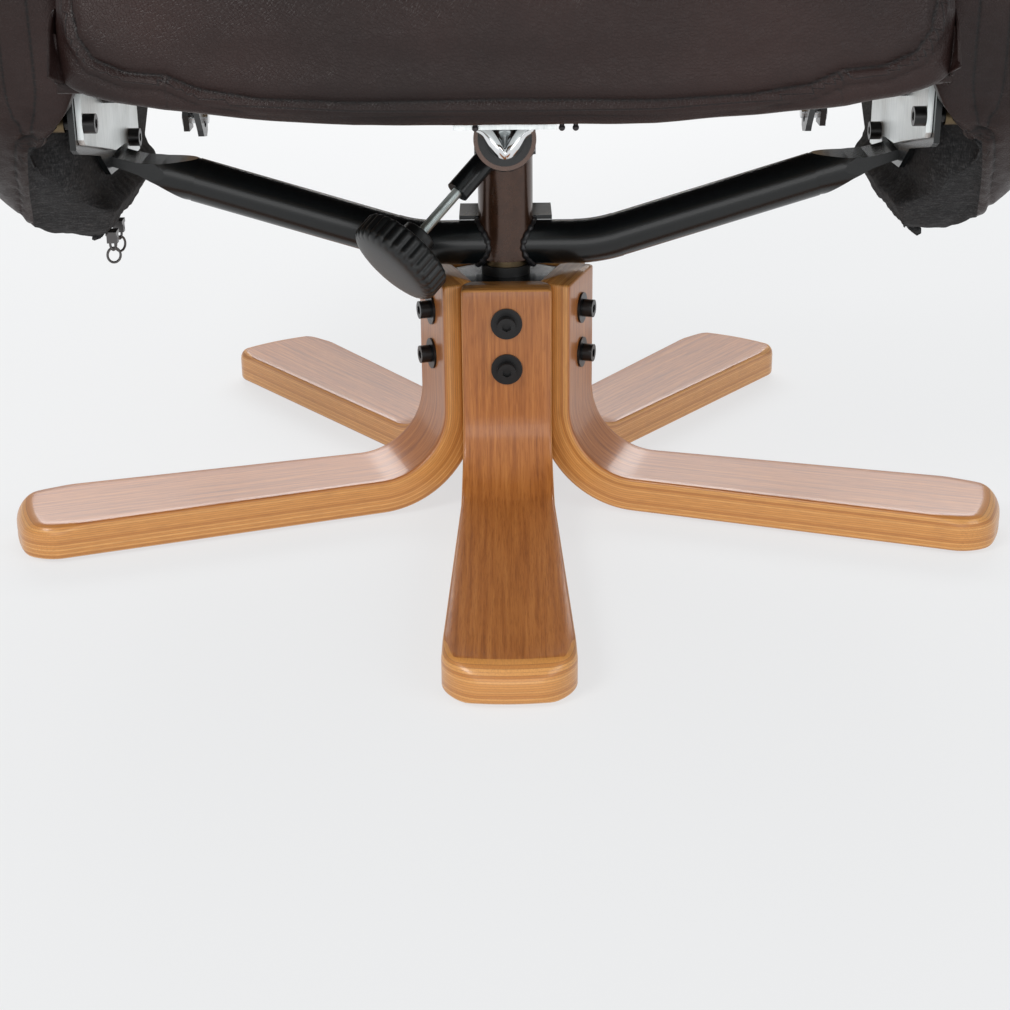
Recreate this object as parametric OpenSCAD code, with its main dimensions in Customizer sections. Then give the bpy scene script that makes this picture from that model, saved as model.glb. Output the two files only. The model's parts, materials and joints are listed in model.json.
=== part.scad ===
// Swivelling recliner armchair on a five-leg bentwood base.
// Millimetres. The floor is z = 0, the chair faces -Y, +X is the sitter's left.
// Positions are written from the swivel axis, then set back by axis_back.

/* [Base] */
// Distance from the swivel axis to each foot's tip
tip_r = 368; // [330:1:400]
// Thickness of the laminated legs
leg_t = 25; // [20:1:28]
// Height of the top of the legs above the foot's underside
leg_h = 168; // [160:1:172]
// Width of a leg at the hub
leg_w = 65; // [56:1:70]
// Width of a leg at its tip
tip_w = 84; // [70:1:100]
// Radius of the rounded corners of a foot
tip_corner = 24; // [10:1:30]
// Inner radius of the leg's bend
bend_r = 50; // [35:1:60]
// Height of the plastic glides under the feet
glide_h = 3; // [2:0.5:6]
// Distance from the swivel axis to the inner face of a leg
hub_face = 33; // [31:1:38]
// Height of the upper leg bolt above the foot's underside
bolt_high = 143; // [135:1:150]
// Height of the lower leg bolt above the foot's underside
bolt_low = 109; // [100:1:120]

/* [Swivel column] */
// Outer diameter of the column
column_d = 40; // [36:1:44]
// Wall of the column
column_wall = 3; // [2:0.5:4]
// Diameter of the swivel spindle
spindle_d = 25; // [20:1:27]
// Height of the column's lower end
column_z = 178; // [176:1:182]
// Diameter of the side support tubes
support_d = 32; // [26:1:34]
// Slope of the side support tubes in degrees
support_slope = 17; // [14:1:19]

/* [Slide and tension knob] */
// Tilt of the seat slide in degrees
tilt = 10; // [8:0.5:12]
// Height of the slide axis above the swivel
slide_z = 265; // [262:1:272]
// Diameter of the slide tube
rod_d = 28; // [24:1:28]
// Outer diameter of the clamp sleeve
sleeve_d = 44; // [43:1:48]
// Length of the clamp sleeve
sleeve_l = 110; // [90:1:130]
// Diameter of the tension knob
knob_d = 70; // [50:1:71]
// Thickness of the tension knob's ribbed rim
knob_t = 23; // [16:1:28]
// Angle of the tension screw below the level in degrees
knob_angle = 51; // [48:1:53]
// Lean of the tension screw towards the front in degrees
knob_forward = 28; // [26:1:32]

/* [Seat] */
// Width of the seat cushion
seat_w = 516; // [480:1:518]
// Thickness of the seat cushion
seat_t = 84; // [70:1:100]
// How far the seat cushion reaches in front of the swivel axis along the slide
seat_front = 300; // [280:1:320]
// How far the seat cushion reaches behind the swivel axis along the slide
seat_rear = 128; // [100:1:132]

/* [Back] */
// Lean of the back at rest in degrees
lean = 15; // [12:0.5:20]
// Distance of the back pivot behind the swivel axis
pivot_y = 245; // [240:1:250]
// Height of the back pivot
pivot_z = 345; // [342:1:350]
// Length of the back frame above the pivot
back_l = 640; // [560:1:700]
// Width of the back cushion
back_w = 524; // [480:1:530]
// Thickness of the back cushion at the loins
back_t = 100; // [80:1:110]
// Length of the crank between back pivot and crank pin
crank_l = 110; // [106:1:112]
// Recline of the back for which the slot is made, in degrees
recline = 26; // [20:1:28]

/* [Arms] */
// Overall width over the arms
overall_w = 784; // [760:1:800]
// Distance of an arm's inner lining from the middle
arm_in = 286.5; // [286:0.5:290]
// Height of the top of the arms
arm_top = 560; // [530:1:600]
// Reach of the arms in front of the swivel axis
arm_front = 150; // [140:1:200]
// Reach of the arms behind the swivel axis
arm_rear = 262; // [240:1:280]

/* [Clearances] */
// Radial clearance of a running fit
run_fit = 0.05; // [0.02:0.01:0.1]
// Radial clearance of a screw in its hole
screw_fit = 0.3; // [0.2:0.05:0.5]
// Gap between parts that are welded or glued together
join_gap = 0.02; // [0:0.01:0.05]
// Gap between neighbouring legs at the mitre
leg_gap = 0.4; // [0.2:0.1:0.8]

/* [Hidden] */
$fn = 96;
axis_back = -38.5;
bend_x = hub_face + leg_t + bend_r;
bolt_d = 8;
head_d = 13;
washer_d = 22.6;
washer_t = 1.6;
bush_d = 32;
hub_bottom = 88;
hub_top = leg_h - 2;
sleeve_wall = 3;
seat_base = 60;
zinc_in = 276;
zinc_t = 4;
bracket_in = 280.4;
bracket_t = 4;
lug_in = 266;
lug_t = 5;
seat_lug_in = 254;
seat_lug_t = 5;
pin_d = 10;
knob_s = 10;
lining_t = 1.5;
panel_in = arm_in + lining_t + 0.5;
panel_t = 15;
pad_in = panel_in + panel_t + 0.5;
half_swing = recline / 2;
sides = [-1, 1];
plate_bolt_at = [[-118, 300], [30, 262], [-51, 308]];
leg_turns = [-90, -18, 54, 126, 198];

// ---------- places ----------

// From the swivel axis at the foot's underside to the frame of the object
module at() {
  translate([0, axis_back, glide_h]) children();
}

// Frame of the slide: local -Y runs up and forward along the slide, local Z is square to it
module on_slide() {
  at() translate([0, 0, slide_z]) rotate([-tilt, 0, 0]) children();
}

// Frame of the back: local Z runs up the back, local -Y is square to it towards the sitter
module on_back() {
  at() translate([0, pivot_y, pivot_z]) rotate([-lean, 0, 0]) children();
}

// Frame of the tension screw: local Z runs out along the screw
module on_screw() {
  on_slide() translate([0, -knob_s, 0]) rotate([-knob_forward, 0, 0])
    rotate([0, -90 - knob_angle, 0]) children();
}

// A rod along X from x1 to x2
module rod_x(x1, x2, r, y = 0, z = 0) {
  translate([x1, y, z]) rotate([0, 90, 0]) cylinder(h = x2 - x1, r = r);
}

// A cutter that rounds the edge along Y of a corner at the origin (stuff is at -X, -Z)
module edge_cut(r, l) {
  difference() {
    translate([-r, -l / 2, -r]) cube([r + 2, l, r + 2]);
    translate([-r, 0, -r]) rotate([90, 0, 0]) cylinder(h = l + 2, r = r * 1.003, center = true);
  }
}

// A plate in the plane of Y and Z from x1 outwards on one side
module side_plate(side, x1, t, points) {
  translate([side > 0 ? x1 : -x1 - t, 0, 0])
    rotate([90, 0, 90]) linear_extrude(height = t) polygon(points);
}

// ---------- base ----------

module leg(turn) {
  mitre = tan(36);
  rotate([0, 0, turn]) difference() {
    intersection() {
      union() {
        translate([bend_x, -60, 0]) cube([tip_r - bend_x, 120, leg_t]);
        translate([hub_face, -60, leg_t + bend_r]) cube([leg_t, 120, leg_h - leg_t - bend_r]);
        difference() {
          intersection() {
            translate([bend_x, 0, leg_t + bend_r]) rotate([90, 0, 0])
              cylinder(h = 120, r = leg_t + bend_r, center = true);
            translate([hub_face - 1, -60, -1]) cube([bend_x - hub_face + 1, 120, leg_t + bend_r + 1]);
          }
          translate([bend_x, 0, leg_t + bend_r]) rotate([90, 0, 0])
            cylinder(h = 130, r = bend_r, center = true);
        }
      }
      translate([0, 0, -5]) linear_extrude(height = leg_h + 10) polygon([
        [hub_face - 3, -(hub_face - 3) * mitre + leg_gap / 2],
        [leg_w / 2 / mitre, -leg_w / 2 + leg_gap / 2],
        [bend_x, -leg_w / 2 - 1],
        [tip_r + 5, -tip_w / 2],
        [tip_r + 5, tip_w / 2],
        [bend_x, leg_w / 2 + 1],
        [leg_w / 2 / mitre, leg_w / 2 - leg_gap / 2],
        [hub_face - 3, (hub_face - 3) * mitre - leg_gap / 2]]);
    }
    // rounded end of the foot
    difference() {
      translate([tip_r - 20, -70, -5]) cube([30, 140, leg_t + 10]);
      translate([tip_r - 150, 0, -6]) cylinder(h = leg_t + 12, r = 150);
    }
    for (k = sides) difference() {
      translate([tip_r - 2 - tip_corner, k > 0 ? tip_w / 2 - tip_corner : -tip_w / 2 - 6, -5])
        cube([tip_corner + 6, tip_corner + 6, leg_t + 10]);
      translate([tip_r - 3 - tip_corner, k * (tip_w / 2 - tip_corner), -6])
        cylinder(h = leg_t + 12, r = tip_corner + 0.2);
    }
    translate([tip_r - 1.5, 0, leg_t]) edge_cut(9, 120);
    // holes for the two bolts and the glide's peg
    for (z = [bolt_low, bolt_high]) rod_x(hub_face - 5, hub_face + leg_t + 5, bolt_d / 2 + screw_fit, 0, z);
    translate([tip_r - 38, 0, -1]) cylinder(h = 13, r = 3 + run_fit);
  }
}

module leg_front() {
  color([0.62, 0.38, 0.2]) at() leg(leg_turns[0]);
}
module leg_right_front() {
  color([0.62, 0.38, 0.2]) at() leg(leg_turns[1]);
}
module leg_right_rear() {
  color([0.62, 0.38, 0.2]) at() leg(leg_turns[2]);
}
module leg_left_rear() {
  color([0.62, 0.38, 0.2]) at() leg(leg_turns[3]);
}
module leg_left_front() {
  color([0.62, 0.38, 0.2]) at() leg(leg_turns[4]);
}

module leg_bolts() {
  seat_x = hub_face + leg_t + washer_t;
  color([0.1, 0.1, 0.1]) at() for (turn = leg_turns, z = [bolt_low, bolt_high])
    rotate([0, 0, turn]) difference() {
      union() {
        rod_x(hub_face - 11, seat_x + 0.5, bolt_d / 2, 0, z);
        rod_x(seat_x, seat_x + bolt_d, head_d / 2, 0, z);
      }
      translate([seat_x + 4, 0, z]) rotate([0, 90, 0]) cylinder(h = 6, r = 3.46, $fn = 6);
    }
}

module leg_washers() {
  face = hub_face + leg_t;
  color([0.08, 0.08, 0.08]) at() for (turn = leg_turns, z = [bolt_low, bolt_high])
    rotate([0, 0, turn]) difference() {
      rod_x(face, face + washer_t, washer_d / 2, 0, z);
      rod_x(face - 1, face + washer_t + 1, bolt_d / 2 + screw_fit, 0, z);
    }
}

module leg_glides() {
  color([0.12, 0.12, 0.12]) at() for (turn = leg_turns) rotate([0, 0, turn])
    translate([tip_r - 38, 0, 0]) union() {
      translate([0, 0, -glide_h]) cylinder(h = glide_h, r = 12.5);
      translate([0, 0, -0.5]) cylinder(h = 11, r = 3);
    }
}

module hub_housing() {
  color([0.12, 0.12, 0.13]) at() difference() {
    translate([0, 0, hub_bottom]) rotate([0, 0, 18])
      cylinder(h = hub_top - hub_bottom, r = (hub_face - 0.2) / cos(36), $fn = 5);
    translate([0, 0, hub_bottom - 1]) cylinder(h = 100, r = bush_d / 2 + join_gap);
    for (turn = leg_turns, z = [bolt_low, bolt_high]) rotate([0, 0, turn])
      rod_x(hub_face - 14, hub_face + 2, bolt_d / 2 + run_fit, 0, z);
  }
}

module swivel_bush() {
  color([0.05, 0.05, 0.05]) at() difference() {
    union() {
      translate([0, 0, hub_bottom]) cylinder(h = hub_top - hub_bottom + 1, r = bush_d / 2);
      translate([0, 0, hub_top]) cylinder(h = 7, r = 18);
    }
    translate([0, 0, hub_bottom - 1]) cylinder(h = 100, r = spindle_d / 2 + run_fit);
    for (turn = leg_turns, z = [bolt_low, bolt_high]) rotate([0, 0, turn])
      rod_x(14.5, 20, bolt_d / 2 + 1, 0, z);
  }
}

// ---------- swivel column ----------

module swivel_spindle() {
  color([0.2, 0.2, 0.21]) at() difference() {
    union() {
      translate([0, 0, hub_bottom - 8]) cylinder(h = column_z - hub_bottom + 9, r = spindle_d / 2);
      translate([0, 0, column_z]) cylinder(h = 28, r = column_d / 2 - column_wall - join_gap);
    }
    translate([0, 0, hub_bottom - 3.6]) difference() {
      cylinder(h = 1.4, r = spindle_d);
      translate([0, 0, -1]) cylinder(h = 4, r = spindle_d / 2 - 1);
    }
  }
}

module spindle_circlip() {
  color([0.15, 0.15, 0.16]) at() translate([0, 0, hub_bottom - 3.5]) difference() {
    cylinder(h = 1.2, r = spindle_d / 2 + 3);
    translate([0, 0, -1]) cylinder(h = 4, r = spindle_d / 2 - 0.9);
    translate([0, -3, -1]) cube([40, 6, 4]);
  }
}

module thrust_washer() {
  color([0.55, 0.5, 0.35]) at() translate([0, 0, hub_top + 7.2]) difference() {
    cylinder(h = column_z - hub_top - 7.4, r = 16.5);
    translate([0, 0, -1]) cylinder(h = 12, r = spindle_d / 2 + run_fit);
  }
}

module column_tube() {
  color([0.14, 0.13, 0.13]) difference() {
    at() difference() {
      translate([0, 0, column_z]) cylinder(h = slide_z - column_z, r = column_d / 2);
      translate([0, 0, column_z - 1]) cylinder(h = 200, r = column_d / 2 - column_wall);
    }
    on_slide() rotate([90, 0, 0]) cylinder(h = 200, r = sleeve_d / 2 + join_gap, center = true);
    on_screw() cylinder(h = 60, r = 8.5 + join_gap);
  }
}

module clamp_sleeve() {
  front = sleeve_l * 0.41;
  color([0.12, 0.12, 0.12]) difference() {
    on_slide() translate([0, -front, 0]) rotate([-90, 0, 0]) difference() {
      cylinder(h = sleeve_l, r = sleeve_d / 2);
      translate([0, 0, -1]) cylinder(h = sleeve_l + 2, r = sleeve_d / 2 - sleeve_wall);
    }
    on_screw() cylinder(h = 40, r = 6.2);
  }
}

module sleeve_bush() {
  front = sleeve_l * 0.41;
  color([0.04, 0.04, 0.04]) difference() {
    on_slide() translate([0, -front, 0]) rotate([-90, 0, 0]) difference() {
      cylinder(h = sleeve_l, r = sleeve_d / 2 - sleeve_wall - join_gap);
      translate([0, 0, -1]) cylinder(h = sleeve_l + 2, r = rod_d / 2 + run_fit);
    }
    on_screw() cylinder(h = 40, r = 6.2);
  }
}

module tension_boss() {
  color([0.1, 0.1, 0.1]) difference() {
    on_screw() difference() {
      translate([0, 0, 16]) cylinder(h = 38, r = 8.5);
      cylinder(h = 80, r = bolt_d / 2 + run_fit);
      cylinder(h = sleeve_d / 2 + 4, r = 6.2);
    }
    on_slide() rotate([90, 0, 0]) cylinder(h = 200, r = sleeve_d / 2 + join_gap, center = true);
  }
}

// Centre line of a side support tube: level stub, bend, long sloping run
tube_z = 188.5;
tube_bend = 110;
tube_x1 = 50;
tube_x2 = tube_x1 + tube_bend * sin(support_slope);
tube_z2 = tube_z + tube_bend * (1 - cos(support_slope));
tube_run = (224 - tube_x2) / cos(support_slope);

// The tube's path as a solid; the bend is drawn a hair wider than the straight runs it joins
module tube_path(r, r_bend) {
  rod_x(10, tube_x1 + 1.5, r, 0, tube_z);
  translate([tube_x1, 0, tube_z + tube_bend]) rotate([90, 0, 0]) rotate([0, 0, -90])
    rotate_extrude(angle = support_slope) translate([tube_bend, 0]) circle(r = r_bend);
  translate([tube_x2, 0, tube_z2]) rotate([0, -support_slope, 0]) rod_x(-1.5, tube_run, r);
}

// One side support tube with a flattened end
module support_tube(side) {
  color([0.07, 0.08, 0.08]) at() mirror([side > 0 ? 0 : 1, 0, 0]) difference() {
    union() {
      difference() {
        tube_path(support_d / 2, support_d / 2 + 0.25);
        tube_path(support_d / 2 - 2.5, support_d / 2 - 2.75);
      }
      // crushed end: a widening cone cut flat above and below
      translate([tube_x2, 0, tube_z2]) rotate([0, -support_slope, 0]) translate([tube_run, 0, 0])
        intersection() {
          translate([-3, 0, 0]) rotate([0, 90, 0])
            cylinder(h = 74, r1 = support_d / 2 - 0.8, r2 = support_d / 2 + 8);
          translate([0, 60, 0]) rotate([90, 0, 0]) linear_extrude(height = 120) polygon([
            [-4, -support_d / 2 - 1], [0, -support_d / 2 - 0.5], [12, -12.4], [25, -7.8],
            [39, -4.4], [50, -3.6], [74, -3.6], [74, 3.6], [50, 3.6], [39, 4.4], [25, 7.8], [12, 12.4], [0, support_d / 2 + 0.5],
            [-4, support_d / 2 + 1]]);
          translate([-4, -18, -40]) cube([80, 36, 80]);
        }
    }
    // coped around the column and square at the bracket
    translate([0, 0, 100]) cylinder(h = 200, r = column_d / 2 + join_gap);
    translate([bracket_in - join_gap, -60, 150]) cube([100, 120, 200]);
  }
}

module support_tube_left() {
  support_tube(-1);
}
module support_tube_right() {
  support_tube(1);
}

module gusset_plate() {
  color([0.12, 0.12, 0.12]) at() difference() {
    translate([-34, 2, 188.5 + support_d / 2 + 0.1]) cube([68, 40, 3]);
    translate([0, 0, 100]) cylinder(h = 200, r = column_d / 2 + join_gap);
  }
}

module side_bracket(side) {
  color([0.06, 0.06, 0.06]) at() difference() {
    side_plate(side, bracket_in, bracket_t, [[-128, 284], [-120, 280], [-56, 266], [-24, 246], [26, 243],
      [64, 244], [72, 252], [72, 312], [232, 326], [246, 323], [258, 327], [266, 338], [266, 352],
      [258, 363], [246, 367], [234, 366], [60, 345], [-110, 336], [-129, 330]]);
    for (b = plate_bolt_at) rod_x(-300, 300, bolt_d / 2 + screw_fit, b[0], b[1]);
    rod_x(-300, 300, pin_d / 2 + run_fit, pivot_y, pivot_z);
  }
}

module side_bracket_left() {
  side_bracket(-1);
}
module side_bracket_right() {
  side_bracket(1);
}

module mechanism_plate(side) {
  color([0.78, 0.8, 0.8]) at() difference() {
    side_plate(side, zinc_in, zinc_t, [[-123, 290], [-119, 286], [-52, 270.5], [-22, 263], [16, 261],
      [20, 259], [22, 252], [34, 246], [67, 246], [67, 318], [232, 333], [246, 329], [256, 333], [261, 341], [261, 350],
      [256, 358], [246, 362], [234, 360], [60, 341], [-108, 331], [-123, 326]]);
    for (b = plate_bolt_at) rod_x(-300, 300, bolt_d / 2 + screw_fit, b[0], b[1]);
    rod_x(-300, 300, pin_d / 2 + run_fit, pivot_y, pivot_z);
  }
}

module mechanism_plate_left() {
  mechanism_plate(-1);
}
module mechanism_plate_right() {
  mechanism_plate(1);
}

// Socket-head screws through plate and bracket into the arm's inserts
module plate_bolts() {
  color([0.08, 0.08, 0.08]) at() for (side = sides, b = plate_bolt_at)
    mirror([side > 0 ? 0 : 1, 0, 0]) difference() {
      union() {
        rod_x(zinc_in - bolt_d, zinc_in, head_d / 2, b[0], b[1]);
        rod_x(zinc_in - 0.5, panel_in + 12, bolt_d / 2, b[0], b[1]);
      }
      translate([zinc_in - bolt_d - 1, b[0], b[1]]) rotate([0, 90, 0]) cylinder(h = 5, r = 3.46, $fn = 6);
    }
}

// Shoulder bolts on which the back turns, riveted flush in the brackets
module pivot_bolts() {
  color([0.7, 0.71, 0.72]) at() for (side = sides) mirror([side > 0 ? 0 : 1, 0, 0]) union() {
    rod_x(lug_in - 1, bracket_in + bracket_t, pin_d / 2, pivot_y, pivot_z);
    rod_x(lug_in - 6, lug_in - 0.6, pin_d, pivot_y, pivot_z);
  }
}

// ---------- arms ----------

// Outline of an arm in the plane of Y and Z, drawn in by a margin
function arm_outline(m) = [
  [-arm_front + m, 306 + m], [-arm_front + 14 + m, 292 + m], [-110, 266 + m], [-30, 208 + m],
  [20, 193 + m], [80, 198 + m], [150, 232 + m], [arm_rear - 30 - m, 300 + m], [arm_rear - m, 340 + m],
  [arm_rear - m, arm_top - 50 - m], [arm_rear - 24 - m, arm_top - 12 - m],
  [arm_rear - 60 - m, arm_top - m], [-arm_front + 70 + m, arm_top - m],
  [-arm_front + 26 + m, arm_top - 14 - m], [-arm_front + m, arm_top - 56 - m]];

module arm_frame(side) {
  color([0.72, 0.56, 0.36]) at() difference() {
    side_plate(side, panel_in, panel_t, arm_outline(6));
    for (b = plate_bolt_at) rod_x(-400, 400, 6, b[0], b[1]);
  }
}

module arm_frame_left() {
  arm_frame(-1);
}
module arm_frame_right() {
  arm_frame(1);
}

module arm_inserts() {
  color([0.7, 0.66, 0.5]) at() for (side = sides, b = plate_bolt_at)
    mirror([side > 0 ? 0 : 1, 0, 0]) difference() {
      rod_x(panel_in, panel_in + 13, 6 - run_fit, b[0], b[1]);
      rod_x(panel_in - 1, panel_in + 14, bolt_d / 2 + run_fit, b[0], b[1]);
    }
}

module arm_pad(side) {
  out = overall_w / 2;
  color([0.2, 0.14, 0.13]) at() union() {
    side_plate(side, pad_in, out - 12 - pad_in, arm_outline(0));
    side_plate(side, out - 12 - 0.001, 12.001, arm_outline(16));
    difference() {
      side_plate(side, panel_in, panel_t + 1, arm_outline(0));
      side_plate(side, panel_in - 1, panel_t + 3, arm_outline(5.7));
    }
  }
}

module arm_pad_left() {
  arm_pad(-1);
}
module arm_pad_right() {
  arm_pad(1);
}

module arm_lining(side) {
  color([0.16, 0.16, 0.17]) at() difference() {
    side_plate(side, arm_in, lining_t, arm_outline(3));
    for (b = plate_bolt_at) rod_x(-400, 400, bolt_d / 2 + 1, b[0], b[1]);
  }
}

module arm_lining_left() {
  arm_lining(-1);
}
module arm_lining_right() {
  arm_lining(1);
}

// Zip sliders under the left arm; each carries a wire eye for its pull
zip_at = [[26, 189.3], [52, 191.4]];
zip_x = -294;

module zip_sliders() {
  color([0.25, 0.24, 0.24]) at() for (p = zip_at) difference() {
    union() {
      translate([zip_x - 4, p[0] - 6, p[1] + 1]) cube([8, 12, 3]);
      translate([zip_x - 4, p[0] - 3, p[1] - 5.4]) cube([8, 6, 6.9]);
    }
    rod_x(zip_x - 10, zip_x + 10, 1.5, p[0], p[1] - 2.4);
    side_plate(-1, 280, 26, arm_outline(-join_gap));
  }
}

module zip_pull(p) {
  color([0.25, 0.24, 0.24]) at() union() {
    rod_x(zip_x - 6.2, zip_x + 6.2, 1.2, p[0], p[1] - 2.4);
    for (k = sides) translate([zip_x + k * 6.2 - 1, p[0] - 1, p[1] - 14]) cube([2, 2, 12.6]);
    translate([zip_x, p[0], p[1] - 20]) rotate([90, 0, 0]) difference() {
      cylinder(h = 2, r = 10.5, center = true);
      cylinder(h = 4, r = 7.5, center = true);
    }
  }
}

module zip_pull_front() {
  zip_pull(zip_at[0]);
}
module zip_pull_rear() {
  zip_pull(zip_at[1]);
}

// ---------- seat ----------

rod_front = sleeve_l * 0.41 + 22;
rod_back = 208;
front_rail = 250;
frame_n = 36;
rail_h = 23.4;

module slide_rod() {
  color([0.85, 0.86, 0.87]) on_slide() difference() {
    union() {
      translate([0, -rod_front + 14, 0]) rotate([-90, 0, 0])
        cylinder(h = rod_back + rod_front - 14, r = rod_d / 2);
      // crushed front end: a folded trough with two wings
      translate([0, -rod_front + 14.5, 0]) rotate([90, 0, 0]) linear_extrude(height = 14.5)
        polygon([[-20, 9.8], [-20, 4.5], [-13, 3.5], [-5, -11], [0, -13], [5, -11],
          [13, 3.5], [20, 4.5], [20, 9.8], [12, 9.8], [0, -8], [-12, 9.8]]);
    }
    translate([0, -rod_front + 22, 0]) rotate([-90, 0, 0])
      cylinder(h = rod_back + rod_front, r = rod_d / 2 - 2.5);
  }
}

// Steel strip that carries the front of the slide tube under the front rail
module rod_front_strip() {
  color([0.78, 0.8, 0.8]) on_slide() union() {
    translate([-30, -front_rail - 25, 10]) cube([60, front_rail + 25 - rod_front + 13.4, 3.6]);
    translate([-30, -front_rail - 25, 10]) cube([60, 4, frame_n + 6]);
  }
}

module rod_rear_hanger() {
  color([0.12, 0.12, 0.12]) on_slide() difference() {
    union() {
      translate([-25, 178, -17]) cube([50, 5, frame_n + 16.98]);
      translate([-25, 178, frame_n - 5]) cube([50, 26, 4.98]);
    }
    translate([0, 170, 0]) rotate([-90, 0, 0]) cylinder(h = 40, r = rod_d / 2 + run_fit);
  }
}

module seat_side_rails() {
  color([0.75, 0.6, 0.4]) on_slide() for (side = sides)
    translate([side > 0 ? seat_lug_in - 30 : -seat_lug_in, -front_rail - 20, frame_n])
      cube([30, front_rail + 20 + 242, rail_h]);
}

module seat_cross_rails() {
  half = seat_lug_in - 30.1;
  color([0.75, 0.6, 0.4]) on_slide() for (y = [-front_rail - 20, 172]) difference() {
    translate([-half, y, frame_n]) cube([2 * half, 32, rail_h]);
    for (x = [-165, -55, 55, 165]) translate([x, y - 1, frame_n + 18]) rotate([-90, 0, 0])
      cylinder(h = 40, r = 2.2);
  }
}

// Zigzag springs let into the two cross rails
module seat_springs() {
  pitch = 32;
  loops = 12;
  wire = 1.9;
  swing = 17;
  start = -front_rail + 24;
  color([0.3, 0.3, 0.32]) on_slide() for (x = [-165, -55, 55, 165]) translate([x, 0, frame_n + 18]) union() {
    translate([0, start - 20, 0]) rotate([-90, 0, 0]) cylinder(h = 20 + pitch / 2, r = wire);
    translate([0, start + pitch * (loops - 0.5), 0]) rotate([-90, 0, 0])
      cylinder(h = 172 + 20 - start - pitch * (loops - 0.5), r = wire);
    for (k = [0 : loops - 1]) translate([0, start + pitch * (k + 0.5), 0]) union() {
      rod_x(-swing, swing, wire);
      if (k < loops - 1) translate([k % 2 == 0 ? swing : -swing, pitch / 2, 0])
        rotate([0, 0, k % 2 == 0 ? -90 : 90]) rotate_extrude(angle = 180)
          translate([pitch / 2, 0]) circle(r = wire);
    }
  }
}

// Wire hooks that hold the seat cover under the front rail
module cover_hooks() {
  color([0.1, 0.1, 0.1]) on_slide() for (x = [-17, 33, 41]) union() {
    translate([x, -front_rail - 28, 11]) cylinder(h = frame_n - 3, r = 1.4);
    translate([x, -front_rail - 28, frame_n + 6]) rotate([-90, 0, 0])
      cylinder(h = abs(x) < 32 ? 2.98 : 7.9, r = 1.4);
    translate([x, -front_rail - 28, 11]) sphere(r = 1.9);
  }
}

// Slotted lugs at the rear of the seat; the slot lets the crank pin rise and fall
module seat_lugs() {
  drop = crank_l * (1 - cos(half_swing));
  mid_s = pivot_y * cos(tilt) - (pivot_z - slide_z) * sin(tilt);
  mid_n = pivot_y * sin(tilt) + (pivot_z - slide_z) * cos(tilt) - crank_l;
  pin_y = mid_s + crank_l * sin(half_swing);
  r = pin_d / 2 + 0.25;
  color([0.1, 0.1, 0.1]) on_slide() for (side = sides)
    translate([side > 0 ? seat_lug_in + 0.02 : -seat_lug_in - seat_lug_t - 0.02, 0, 0]) difference() {
      rotate([90, 0, 90]) linear_extrude(height = seat_lug_t) polygon([[pin_y - 60, frame_n + 20],
        [pin_y - 60, frame_n + 2], [pin_y - 13, mid_n - 8], [pin_y - 8, mid_n - 13], [pin_y + 8, mid_n - 13],
        [pin_y + 13, mid_n - 8], [pin_y + 13, frame_n + 20]]);
      rod_x(-1, seat_lug_t + 1, r, pin_y, mid_n - 0.3);
      rod_x(-1, seat_lug_t + 1, r, pin_y, mid_n + drop + 0.3);
      translate([-1, pin_y - r, mid_n - 0.3]) cube([seat_lug_t + 2, 2 * r, drop + 0.6]);
    }
}

module seat_cushion() {
  w = seat_w / 2;
  color([0.22, 0.16, 0.15]) on_slide() translate([-w, 0, 0]) rotate([90, 0, 90])
    linear_extrude(height = seat_w) polygon([[seat_rear, seat_base], [seat_rear, seat_base + seat_t - 14],
      [seat_rear - 16, seat_base + seat_t], [-seat_front + 60, seat_base + seat_t + 2],
      [-seat_front + 24, seat_base + seat_t - 6], [-seat_front + 4, seat_base + seat_t - 26],
      [-seat_front, seat_base + 30], [-seat_front + 3, seat_base]]);
}

// Padded border under the cushion's front edge
module seat_border() {
  w = seat_w / 2 - 4;
  y0 = -front_rail - 30.5;
  color([0.2, 0.14, 0.13]) on_slide() difference() {
    translate([-w, -seat_front + 4, 18]) cube([2 * w, y0 + seat_front - 4, seat_base - 18.5]);
    translate([-80, -seat_front, 10]) cube([160, 100, 15]);
  }
}

// ---------- back ----------

upright_x = 226;
upright_d = 22;

module back_uprights() {
  color([0.12, 0.12, 0.13]) on_back() for (side = sides) translate([side * upright_x, 0, -18]) difference() {
    cylinder(h = back_l + 18, r = upright_d / 2);
    translate([0, 0, 3]) cylinder(h = back_l + 12, r = upright_d / 2 - 2);
  }
}

module back_cross_tubes() {
  color([0.12, 0.12, 0.13]) on_back() for (z = [6, back_l * 0.5, back_l - 20]) difference() {
    rod_x(-upright_x, upright_x, 9, 0, z);
    for (side = sides) translate([side * upright_x, 0, -30])
      cylinder(h = back_l + 60, r = upright_d / 2 + join_gap);
  }
}

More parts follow.
